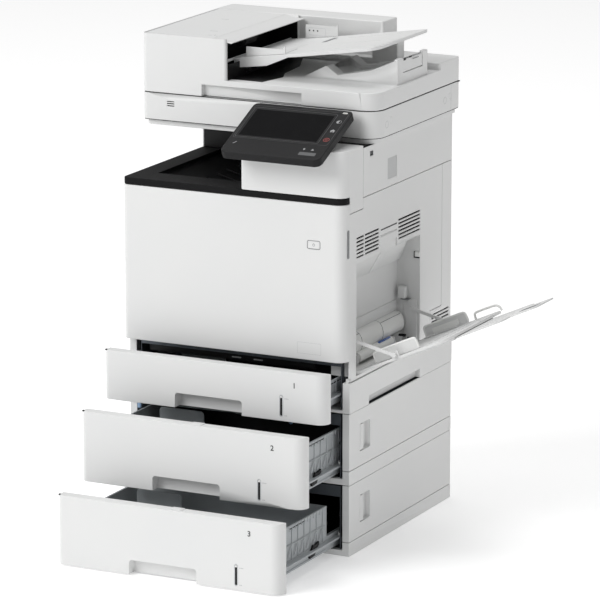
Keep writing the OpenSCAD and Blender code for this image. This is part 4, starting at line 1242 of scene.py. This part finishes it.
    def side_works(self) -> None:
        """Makes the slot, ribs and black latch on the tray's sides."""
        parts, ribs, dark = [], [], []
        x = self.tray_x
        y0 = self.back + (64.0 if self.number < 3 else 80.0)
        dark.append(
            block((x - 0.3, y0, self.tray_top - 6.2), (x + 0.25, y0 + 70, self.tray_top - 4.0), 0.1, 1)
        )
        height = self.tray_top - self.tray_foot
        steps = 17 if self.number > 1 else 10
        for side in (-1.0, 1.0):
            inner, outer = sorted((side * (x - 0.4), side * (x + 1.1)))
            for k in range(steps):
                y = self.back + 14.0 + k * self.rib_pitch
                ribs.append(
                    block(
                        (inner, y, self.tray_top - 9.5), (outer, y + 1.2, self.tray_top - 0.8), 0.25, 1
                    ),
                )
            if self.number > 1:
                ribs.append(
                    block(
                        (inner, self.back + 10, self.tray_foot + height * 0.58),
                        (outer, self.back + 238, self.tray_foot + height * 0.58 + 1.6),
                        0.3,
                        1,
                    ),
                )
                ribs.append(
                    block(
                        (inner, self.back + 10, self.tray_foot + 3.0),
                        (outer, self.back + 238, self.tray_foot + 5.0),
                        0.3,
                        1,
                    ),
                )
                for k in range(8):
                    y = self.back + 20.0 + k * 27.0
                    z = self.tray_foot + 30.5
                    low_face = right_face(outer) if side > 0 else plane((inner, 0, 0), -Y_AXIS, Z_AXIS)
                    lean = [(y, z), (y + 3.0, z), (y + 17.0, z + 21.0), (y + 14.0, z + 21.0)]
                    if side < 0:
                        lean = [(-a, b) for a, b in lean]
                    ribs.append(slab(lean, low_face, 1.0))
        piece(self.name("side_slot"), joined(dark), self.body, Finish.DARK)
        piece(self.name("side_ribs"), joined(ribs), self.body, Finish.TRAY)
        if self.number > 1:
            y, z = (self.back + 76.0, self.tray_foot + 14.0) if self.number == 2 else (
                self.back + 165.0, self.tray_foot + 15.0
            )
            face = right_face(x + 4.2)
            hook = [
                (y, z - 9), (y + 20, z - 7), (y + 26, z + 4), (y + 40, z + 11), (y + 38, z + 17),
                (y + 22, z + 12), (y + 14, z + 16), (y + 9, z + 9), (y + 2, z + 6), (y - 4, z - 2),
            ]
            parts.append(slab(hook, face, 3.8, 0.4))
            parts.append(rod((x + 0.2, y + 8, z), (x + 5.4, y + 8, z), 5.0, 20, 0.6))
            piece(self.name("rail_latch"), joined(parts), self.body, Finish.DARK)


@dataclass
class FeederWorks:
    """Dark liners that paint the shade inside the modules, guides and touch points seen between the drawers.
    """

    tops: Spot = (141.5, 286.0)
    foot_z: Spot = (14.0, 158.0)
    guide_y: float = -232.6

    def build(self) -> None:
        """Makes the pieces of both feeder modules and of the main drawer bay."""
        for number, (top, foot) in enumerate(zip(self.tops, self.foot_z)):
            name = ("lower", "upper")[number]
            self.liner(name, top, foot)
            self.knobs(name, top)
            self.side_plate(name, top)
        self.main_bay()

    def liner(self, name: str, top: float, foot: float) -> None:
        """Lines a module's inside with black sheets that paint its deep shade, adds the plated entry guide,
        and paints the shade on the right side plate as a dark patch.
        """
        # Black sheets that paint the deep shade inside the module.
        parts = [
            block((-212, 225.6, foot + 4), (168, 228.0, top - 4), 0.4, 1),
            block((-212, -150, top - 4.4), (165, 220, top - 2.2), 0.4, 1),
            block((-217, -228, foot - 1.9), (216, 225, foot - 0.6), 0.3, 1),
            block((-219.2, -150, foot + 40), (-217.6, 226, top - 6), 0.3, 1),
        ]
        piece(f"{name}_bay_liner", joined(parts), "chassis", Finish.DARK)
        low = top - 28.0
        wave = [
            (-206, low + 2), (-190, low), (-60, low + 1.5), (-20, low + 3), (10, low), (60, low - 1),
            (110, low + 1.5), (122, low + 8), (122, top - 4), (-206, top - 4),
        ]
        piece(
            f"{name}_entry_guide",
            slab(wave, front_face(self.guide_y), 1.6, 0.3),
            "chassis",
            Finish.STRETCHER,
        )
        # A dark patch that paints the shade on the right side plate.
        shade = [
            (-228, foot + 3), (226, foot + 3), (226, top - 30), (-60, top - 30), (-120, top - 46),
            (-170, top - 54), (-205, top - 40), (-228, top - 42),
        ]
        piece(
            f"{name}_side_shade",
            slab(shade, right_face(219.2), 1.4, 0.2),
            "chassis",
            Finish.DARK,
        )

    def knobs(self, name: str, top: float) -> None:
        """Makes the blue touch knobs with their rods under the front stretcher."""
        profile = [(0.0, 2.2), (3.6, 2.0), (5.6, 1.0), (6.2, 0.0), (5.8, -1.0), (4.2, -1.8), (0.0, -2.0)]
        knobs = []
        for x, z, size in ((-225.0, top - 33.0, 1.0), (113.3, top - 28.4, 0.7)):
            knobs.append(
                lathe([(size * a, b) for a, b in profile], plane((x, -236.9, z), X_AXIS, Z_AXIS), 24)
            )
            knobs.append(block((x - 4.0, -236.6, z), (x + 4.0, -234.9, z + 13), 0.6))
        piece(f"{name}_touch_knobs", joined(knobs), "chassis", Finish.ACETAL_BLUE)
        bar = rod((-225.0, -236.5, top - 39.0), (-225.0, -236.5, top - 56.0), 0.9, 12)
        piece(f"{name}_knob_rod", bar, "chassis", Finish.DARK)

    def side_plate(self, name: str, top: float) -> None:
        """Adds cast-in rollers, clips and bosses on the right side plate."""
        parts = []
        for y, z, r in ((-228, top - 60, 3.4), (-219, top - 52, 2.4), (-210, top - 64, 2.2)):
            parts.append(rod((219.0, y, z), (215.4, y, z), r, 18, 0.4))
        parts.append(block((216.2, -232, top - 98), (219.2, -206, top - 84), 0.8))
        parts.append(block((215.8, -229, top - 38), (219.2, -196, top - 33), 0.8))
        piece(f"{name}_side_clips", joined(parts), "chassis", Finish.DARK)
        wheels = [
            rod(
                (218.8, -226 + 16 * k, top - 104 + 4),
                (213.9, -226 + 16 * k, top - 104 + 4),
                5.0,
                20,
                0.5,
            )
            for k in range(2)
        ]
        piece(f"{name}_rail_wheels", joined(wheels), "chassis", Finish.ACETAL)

    def main_bay(self) -> None:
        """Lines the bay of the top drawer with black sheets that paint its shade, and adds its paper entry.
        """
        # Black sheets that paint the shade in the top drawer's bay.
        parts = [
            block((-214, 145.8, 296), (205, 148.2, 392), 0.4, 1),
            block((-205, -60, 393.0), (160, 140, 395.0), 0.4, 1),
        ]
        piece("main_bay_liner", joined(parts), "chassis", Finish.DARK)
        tags = [
            block((-22, -225, 371.2), (-2, -224, 373.6), 0.2, 1),
            block((26, -225, 371.0), (46, -224, 373.2), 0.2, 1),
        ]
        bar = block((-205, -224.2, 366), (160, -219, 384), 0.8)
        piece("main_bay_cross_bar", bar, "chassis", Finish.DARK)
        piece("main_bay_tags", joined(tags), "chassis", Finish.INK_WHITE)


@dataclass
class FrontCover:
    """Print and inlays of the front cover."""

    button: Spot = field(init=False)
    plate: Spot = (166.7, 418.3)

    def __post_init__(self) -> None:
        """Reads where the power button's middle is."""
        low, high = box_mm("power_button")
        self.button = ((low[0] + high[0]) / 2.0, (low[2] + high[2]) / 2.0)

    def build(self) -> None:
        """Makes the button's rim and symbol, the painted shade in the inlaid plate's seam and in the side
        grip's slot.
        """
        face = front_face(FRONT_Y - 0.12)
        rim = band(
            rounded(28.6, 17.6, 3.8, 8, self.button),
            rounded(26.6, 15.6, 2.9, 8, self.button),
            face,
            0.4,
        )
        piece("power_button_rim", rim, "front_cover", Finish.INK_GREY)
        arc = [
            (2.7 * math.cos(math.radians(a)), 2.7 * math.sin(math.radians(a)))
            for a in range(120, 421, 20)
        ]
        inner = [(x * 0.74, y * 0.74) for x, y in arc]
        outline = [(self.button[0] + x, self.button[1] + y) for x, y in arc + inner[::-1]]
        mark_face = front_face(FRONT_Y - 0.38)
        parts = [
            slab(outline, mark_face, 0.3),
            slab(rounded(0.8, 3.0, 0.3, 3, (self.button[0], self.button[1] + 2.2)), mark_face, 0.3),
        ]
        piece("power_symbol", joined(parts), "power_button", Finish.INK_GREY)
        # A thin grey ring that paints the shade in the seam round the inlaid plate.
        plate = band(
            rounded(51.0, 22.6, 1.4, 6, self.plate), rounded(50.2, 21.8, 1.0, 6, self.plate), face, 0.3
        )
        piece("front_plate_seam_shade", plate, "front_cover", Finish.INK_FAINT)
        grip = slab(rounded(7.5, 56.0, 2.6, 6, (-245.8, 628.0)), right_face(242.12), 0.5)
        piece("front_cover_grip_slot", grip, "front_cover", Finish.SLOT_GREY)


@dataclass
class Bypass:
    """Feed works in the recess, and what shows on the bypass tray."""

    hinge: Point = (236.0, 0.0, 364.0)
    angle: float = 24.5

    def tray(self) -> Plane:
        """Returns the tray's own frame: x outwards, y back, z up from its face."""
        turn = math.radians(self.angle)
        out = Vector((math.cos(turn), 0.0, math.sin(turn)))
        return plane(self.hinge, out, Y_AXIS)

    def build(self) -> None:
        """Makes every piece of the bypass."""
        self.feed_cover()
        self.feed_parts()
        self.recess()
        self.tray_parts()

    def feed_cover(self) -> None:
        """Makes the white bulged cover over the feed roller, with its seams."""
        profile = [
            (192.3, 424), (198, 423.6), (204, 420), (208.6, 413), (211, 404), (211.2, 396), (209, 389),
            (204.6, 384.4), (199, 383), (192.3, 383),
        ]
        cover = slab(profile, front_face(-207.0), 284.0, 0.8)
        piece("bypass_feed_cover", cover, "right_door", Finish.ACETAL)
        seams = []
        for y in (-118.0, -22.0):
            seams.append(slab([(x + (0.5 if x > 193 else 0), z) for x, z in profile], front_face(y), 0.8))
        seams.append(block((203.0, -200, 419.6), (204.4, -118, 420.4), 0.1, 1))
        seams.append(block((203.0, -22, 419.6), (204.4, 72, 420.4), 0.1, 1))
        piece("bypass_cover_seams", joined(seams), "right_door", Finish.SLOT_GREY)

    def feed_parts(self) -> None:
        """Makes the white lower guide, blue catches and dark sensors at the entry."""
        lower = slab(
            [(193, 367.5), (199, 371), (207, 362.5), (207, 360.2), (193, 360.2)],
            front_face(40.0),
            40.0,
            0.4,
        )
        shelf = block((212, -192, 359.4), (226, 66, 361.4), 0.5)
        end = block((194, 57, 362), (213, 67, 382), 3.0, 3)
        low_end = block((194, -195, 362), (213, -185, 382), 3.0, 3)
        piece(
            "bypass_lower_guide",
            joined([lower, shelf, end, low_end]),
            "right_door",
            Finish.ACETAL,
        )
        blue = [
            block((210.4, -46, 385), (214.6, 6, 388.4), 0.8, 2),
            block((212, 2, 364), (224, 50, 368), 1.0, 2),
        ]
        piece("bypass_blue_catches", joined(blue), "right_door", Finish.DEEP_BLUE)
        dark = [
            block((206, -64, 375), (212, -52, 380.5), 1.0, 2),
            block((205, -186, 373), (211.6, -66, 377), 0.8, 2),
            block((208, 56, 377), (223.4, 62, 382), 1.0, 2),
            rod((222.5, 70, 372), (224.2, 70, 372), 2.4, 16, 0.3),
        ]
        piece("bypass_dark_sensors", joined(dark), "right_door", Finish.DARK)

    def recess(self) -> None:
        """Makes the slanted head, the side fittings and the catch of the recess."""
        slope = [(192.2, 527), (199, 530), (224, 573), (224, 582.6), (192.2, 582.6)]
        end_slope = [(192.2, 527), (198, 530), (212, 560), (212, 582.6), (192.2, 582.6)]
        head = joined(
            [slab(slope, front_face(-209.6), 269.0, 0.5), slab(end_slope, front_face(59.0), 24.4, 0.5)]
        )
        pillar = slab(
            [(x + (1.6 if x > 193 else 0.0), z) for x, z in slope], front_face(-66.0), 26.0, 1.0
        )
        plate = slab(
            [(195, 533), (202, 536), (222, 568), (222, 576), (195, 576)], front_face(-30.0), 62.0, 0.8
        )
        side = block((207, 81.8, 368), (236, 83.8, 449), 0.8)
        shelf = block((199, 70, 451), (216, 83.6, 476), 3.0, 3)
        band_plate = block((191.6, -206, 431), (194.2, 78, 447), 0.8, 2)
        piece(
            "recess_fittings",
            joined([head, pillar, plate, side, shelf, band_plate]),
            "right_door",
            Finish.COVER,
        )
        seam = block((204.5, 70.6, 449.2), (222.4, 83.8, 450.4), 0.2, 1)
        piece("recess_shelf_seam", seam, "right_door", Finish.SLOT_GREY)
        shade = block((241.6, -100, 626.8), (242.25, -26, 629.4), 0.1, 1)
        flap = block((232.0, -98.6, 584.0), (240.9, -27.4, 616.0), 1.2, 2)
        piece("handle_pocket_shade", shade, "right_door", Finish.DARK)
        piece("handle_flap", flap, "right_door", Finish.COVER)
        catch = block((231.5, 80.6, 537.6), (241.6, 83.9, 547.6), 0.8, 2)
        piece("recess_catch", catch, "right_door", Finish.ACETAL)
        edge = [
            block((229.4, 80.8, 535.0), (231.4, 83.9, 548.2), 0.3, 1),
            block((229.4, 80.8, 535.0), (241.3, 83.9, 537.4), 0.3, 1),
        ]
        piece("recess_catch_shade", joined(edge), "right_door", Finish.DARK)

    def tray_parts(self) -> None:
        """Makes the guide rims, the wire rest and the slots of the tray."""
        tray = self.tray()
        for name, y, side in (("front", -182.0, 1.0), ("rear", 53.0, -1.0)):
            points = [
                (40.6, y + 1.5, 3), (40.6, y + 1.5, 18), (43, y + 1.5, 22.4), (50, y + 1.5, 23.2),
                (130, y + 1.5, 23.2), (138, y + 1.5, 22.4), (140.2, y + 1.5, 17), (140.2, y + 1.5, 3),
            ]
            rim = wire(points, 2.3, tray)
            blade = self.local_block(
                tray, (60, y + side * 3.4 - 0.6, 3.2), (122, y + side * 3.4 + 1.8, 15), 0.6
            )
            piece(
                f"bypass_{name}_guide_rim", joined([rim, blade]), f"bypass_{name}_guide", Finish.ACETAL,
            )
        rest = wire(
            [
                (150, 69, -1), (150, 69, 9), (153, 69, 12.6), (160, 69, 13.6), (196, 69, 13.6),
                (205, 69, 12), (210, 69, 6), (211, 69, -1),
            ],
            2.4,
            tray,
        )
        piece("bypass_wire_rest", rest, "bypass_tray", Finish.ACETAL)
        slots = [
            self.local_block(tray, (36, -120, -0.2), (38.2, -20, 0.18), 0.1),
            self.local_block(tray, (150, -158, -0.2), (151.2, 46, 0.18), 0.1),
            self.local_block(tray, (186, -150, -0.2), (187, -30, 0.18), 0.1),
        ]
        piece("bypass_tray_slots", joined(slots), "bypass_tray", Finish.SLOT_GREY)
        grip = self.local_block(tray, (322, -88, -6.5), (360, -60, -6.1), 0.1)
        piece("bypass_extension_grip", grip, "bypass_extension", Finish.SLOT_GREY)

    @staticmethod
    def local_block(place: Plane, low: Point, high: Point, edge: float) -> Mesh:
        """Returns a rounded block given in the tray's own frame."""
        bm = block(low, high, edge, 1)
        bmesh.ops.transform(bm, matrix=place, verts=bm.verts)
        return bm


@dataclass
class DocumentFeeder:
    """Dark works, painted shade under the tray, marks and slots of the document feeder."""

    top: float = box_mm("document_feeder")[1][2]
    low: float = 907.0

    def build(self) -> None:
        """Makes every piece of the feeder."""
        self.mouth()
        self.exit()
        self.marks()
        self.tray_surface()
        self.stopper()

    def mouth(self) -> None:
        """Lines the mouth black and adds its pick-up bracket and separation pad."""
        parts = [
            block((-137, -144.5, 911), (-134, 166, 981), 0.5, 1),
            block((-134, 164.6, 911), (-71.5, 166.6, 981), 0.4, 1),
            block((-134, -145.6, 911), (-71.5, -143.6, 979), 0.4, 1),
            block((-134, -143, 910.4), (-71.5, 164, 912.2), 0.4, 1),
            block((-131, -28, 975), (-100, 78, 980), 1.2, 2),
            block((-126, 52, 962), (-106, 58, 978), 1.0, 2),
            block((-126, -8, 962), (-106, -2, 978), 1.0, 2),
        ]
        piece("feeder_mouth_works", joined(parts), "lid", Finish.DARK)

    def exit(self) -> None:
        """Makes the black exit rollers under the document tray, with a black floor patch and wall that paint
        the deep shade there.
        """
        # The black floor patch and the wall paint the deep shade under the tray; the rods are the exit
        # rollers.
        floor = [(-69.6, -129), (-1.6, -131), (11, -65), (-5, -24), (-13, 59), (-48, 143), (-69.6, 160)]
        parts = [
            slab(floor, top_face(self.low + 0.7), 0.9, 0.3),
            block((-70.4, -145, self.low + 0.2), (-69.0, 166, 938), 0.3, 1),
        ]
        for y in (-70, -20, 40, 90):
            parts.append(rod((-69.5, y, 915), (-69.5, y + 22, 915), 3.2, 18, 0.5))
        piece("feeder_exit_rollers_and_shade", joined(parts), "lid", Finish.DARK)

    def marks(self) -> None:
        """Prints the marks on the feed cover and the guide."""
        face = top_face(self.top + 0.18)
        parts = [
            slab(rounded(17.0, 2.0, 0.9, 4, (-180.4, 57.8)), face, 0.4),
            slab(rounded(17.0, 2.0, 0.9, 4, (-136.5, -74.7)), face, 0.4),
            slab(rounded(9.0, 1.2, 0.5, 3, (-122.0, -121.0)), face, 0.4),
            slab(rounded(1.2, 8.0, 0.5, 3, (-112.0, -118.0)), face, 0.4),
            slab(rounded(5.0, 1.2, 0.5, 3, (-104.0, -126.0)), face, 0.4),
        ]
        piece("feed_cover_marks", joined(parts), "feed_cover", Finish.INK_FAINT)
        face = front_face(138.85)
        dots = [slab(ring(1.6, 16, (-31.0 + 9.0 * k, 966.0)), face, 0.4) for k in range(3)]
        piece("rear_guide_dots", joined(dots), "document_rear_guide", Finish.INK_BLACK)
        frame_line = band(
            rounded(38.0, 15.0, 2.0, 5, (-14.0, 964.5)),
            rounded(37.0, 14.0, 1.6, 5, (-14.0, 964.5)),
            front_face(138.8),
            0.4,
        )
        piece("rear_guide_frame", frame_line, "document_rear_guide", Finish.RIM_GREY)

    @staticmethod
    def tray_height(x: float) -> float:
        """Returns the height of the document tray's face at an X, in millimetres."""
        if x < 58.0:
            return 962.0 + (x - 58.0) * 18.0 / 136.0
        return 962.0 + (x - 58.0) * 26.0 / 172.0

    def strip(self, x0: float, x1: float, y0: float, y1: float, high: float) -> Mesh:
        """Returns a strip that lies on the document tray's slope."""
        z0, z1 = self.tray_height(x0), self.tray_height(x1)
        outline = [(x0, z0 - 0.4), (x1, z1 - 0.4), (x1, z1 + high), (x0, z0 + high)]
        return slab(outline, front_face(y0), y1 - y0)

    def tray_surface(self) -> None:
        """Makes the slots and raised runs on the document tray."""
        slots = [
            self.strip(-40, -14, 132.2, 133.4, 0.16),
            self.strip(-8, 30, 132.2, 133.4, 0.16),
            self.strip(40, 52, 96, 97.4, 0.16),
            self.strip(34, 44, 60, 118, 0.14),
            self.strip(20, 21.4, -86, -20, 0.16),
        ]
        piece("document_tray_slots", joined(slots), "document_tray", Finish.SLOT_GREY)
        runs = [
            self.strip(4, 6.4, -66, 42, 0.3),
            self.strip(12, 14.4, -66, 42, 0.3),
            self.strip(-30, -12, 60, 62, 0.3),
            self.strip(-50, 40, -72, -70.4, 0.3),
            self.strip(70, 210, -60, -58.6, 0.4),
            self.strip(70, 214, 20, 21.4, 0.4),
            self.strip(70, 214, 104, 105.4, 0.4),
        ]
        piece("document_tray_runs", joined(runs), "document_tray", Finish.COVER)

    def stopper(self) -> None:
        """Makes the dark catches beside the paper stopper."""
        parts = [
            block((250.6, -18, 951.6), (251.3, -8, 956.2), 0.2, 1),
            block((250.6, 8, 953.2), (251.3, 20, 956.4), 0.2, 1),
            block((250.9, 24, 948.4), (251.25, 52, 949.4), 0.1, 1),
        ]
        piece("stopper_catches", joined(parts), "lid", Finish.DARK)


@dataclass
class Scanner:
    """Painted seam shade, hinge caps and seams of the scanner, and the output bay's works."""

    low: Spot = box_mm("scanner_case")[0][:2]
    high: Spot = box_mm("scanner_case")[1][:2]
    radii: tuple[float, float, float, float] = (12.0, 38.0, 10.0, 10.0)

    def gasket(self, z: float, depth: float, inset: float, width: float) -> Mesh:
        """Returns a dark ring that paints the shade in a seam of the scanner.

        Args:
            z: its top in millimetres.
            depth: its height.
            inset: how far it lies inside the covers' faces.
            width: how wide it is.
        """
        rings = []
        for grown in (inset, inset + width):
            low = (self.low[0] + grown, self.low[1] + grown)
            high = (self.high[0] - grown, self.high[1] - grown)
            rings.append(rounded_box(low, high, [max(r - grown, 1.0) for r in self.radii]))
        return band(rings[0], rings[1], top_face(z), depth)

    def build(self) -> None:
        """Makes the painted shade in the seams and in the lid's hinge notch, the caps' lines, the rear seam's
        line, the speaker's dark slots, and the output tray's ridges and exit rollers.
        """
        # Dark rings that paint the shade in the lid's seam and in the scanner's seam.
        piece("lid_seam_shade", self.gasket(871.7, 1.5, 0.7, 2.6), "chassis", Finish.SEAM)
        piece("scanner_seam_shade", self.gasket(817.6, 1.3, 0.6, 2.2), "chassis", Finish.SEAM)
        caps = []
        for y, z in ((-106.2, 840.7), (165.6, 842.1)):
            face = right_face(257.1)
            caps.append(band(ring(7.2, 28, (y, z)), ring(6.5, 28, (y, z)), face, 0.4))
        piece("scanner_cap_lines", joined(caps), "chassis", Finish.INK_FAINT)
        # A thin grey line that paints the shade in the scanner's rear seam.
        seam = block((256.8, 194.2, 819), (257.1, 194.9, 869.5), 0.05, 1)
        piece("scanner_rear_seam", seam, "chassis", Finish.INK_FAINT)
        notch = block((240, 226, 869.2), (257.2, 238.0, 871.4), 0.3, 1)
        piece("lid_hinge_shade", notch, "chassis", Finish.SEAM)
        slots = [
            block((-202, -148.9, 846.0 + 4.4 * k - 0.6), (-186, -147.9, 848.0 + 4.4 * k + 0.6), 0.1, 1)
            for k in range(3)
        ]
        piece("speaker_cloth", joined(slots), "chassis", Finish.DARK)
        ridges = []
        for k in range(5):
            y = -150.0 + 44.0 * k
            ridges.append(
                slab(
                    [(-140, 699.6), (-138, 701.2), (0, 664.6), (2, 662.0), (2, 661.0), (-140, 698.6)],
                    front_face(y),
                    3.0,
                    0.3,
                ),
            )
        piece("output_tray_ridges", joined(ridges), "chassis", Finish.TRAY_BLACK)
        rollers = [rod((14.0, y, 755), (14.0, y + 16, 755), 5.0, 20, 0.6) for y in (-130, -80, -30, 20)]
        piece("output_exit_rollers", joined(rollers), "chassis", Finish.RUBBER)


@dataclass
class SideCovers:
    """Small fittings on the right and rear covers."""

    def build(self) -> None:
        """Makes the label, the port's shell and the port's dark back."""
        face = right_face(241.62)
        piece(
            "side_label",
            slab(rounded(41.0, 41.0, 1.0, 3, (-49.0, 744.5)), face, 0.3),
            "chassis",
            Finish.LABEL_GREY,
        )
        port = band(
            rounded(13.0, 9.0, 1.2, 4, (-143.0, 789.0)),
            rounded(11.4, 7.4, 0.8, 4, (-143.0, 789.0)),
            right_face(242.1),
            3.0,
        )
        tongue = block((237, -148, 788.0), (241.0, -138, 790.4), 0.3, 1)
        piece("port_shell", joined([port, tongue]), "chassis", Finish.SLOT_GREY)
        back = block((235.6, -151, 783), (236.6, -135, 795), 0.2, 1)
        piece("port_back", back, "chassis", Finish.DARK)


def dress_nodes() -> None:
    """Shows every CAD node as a softened copy in its own finish."""
    for row in frame["record"]["subparts"]:
        node, slot = row["node"], row["material_slot"]
        Softened(node, SLOT_FINISH[slot], EDGE_MM.get(node, PLAIN_EDGE_MM)).build()


def build_all() -> None:
    """Builds the sub-assemblies in order."""
    for drawer in (Drawer(1, 26.0), Drawer(2, 25.0), Drawer(3, 25.0)):
        drawer.build()
    for part in (
        FeederWorks(), FrontCover(), Bypass(), DocumentFeeder(), Scanner(), SideCovers(), Panel()
    ):
        part.build()


def main() -> None:
    """Builds the studio and the machine."""
    logging.basicConfig(level=logging.INFO, format="%(message)s")
    Studio().build()
    dress_nodes()
    build_all()


if __name__ == "__main__":
    main()
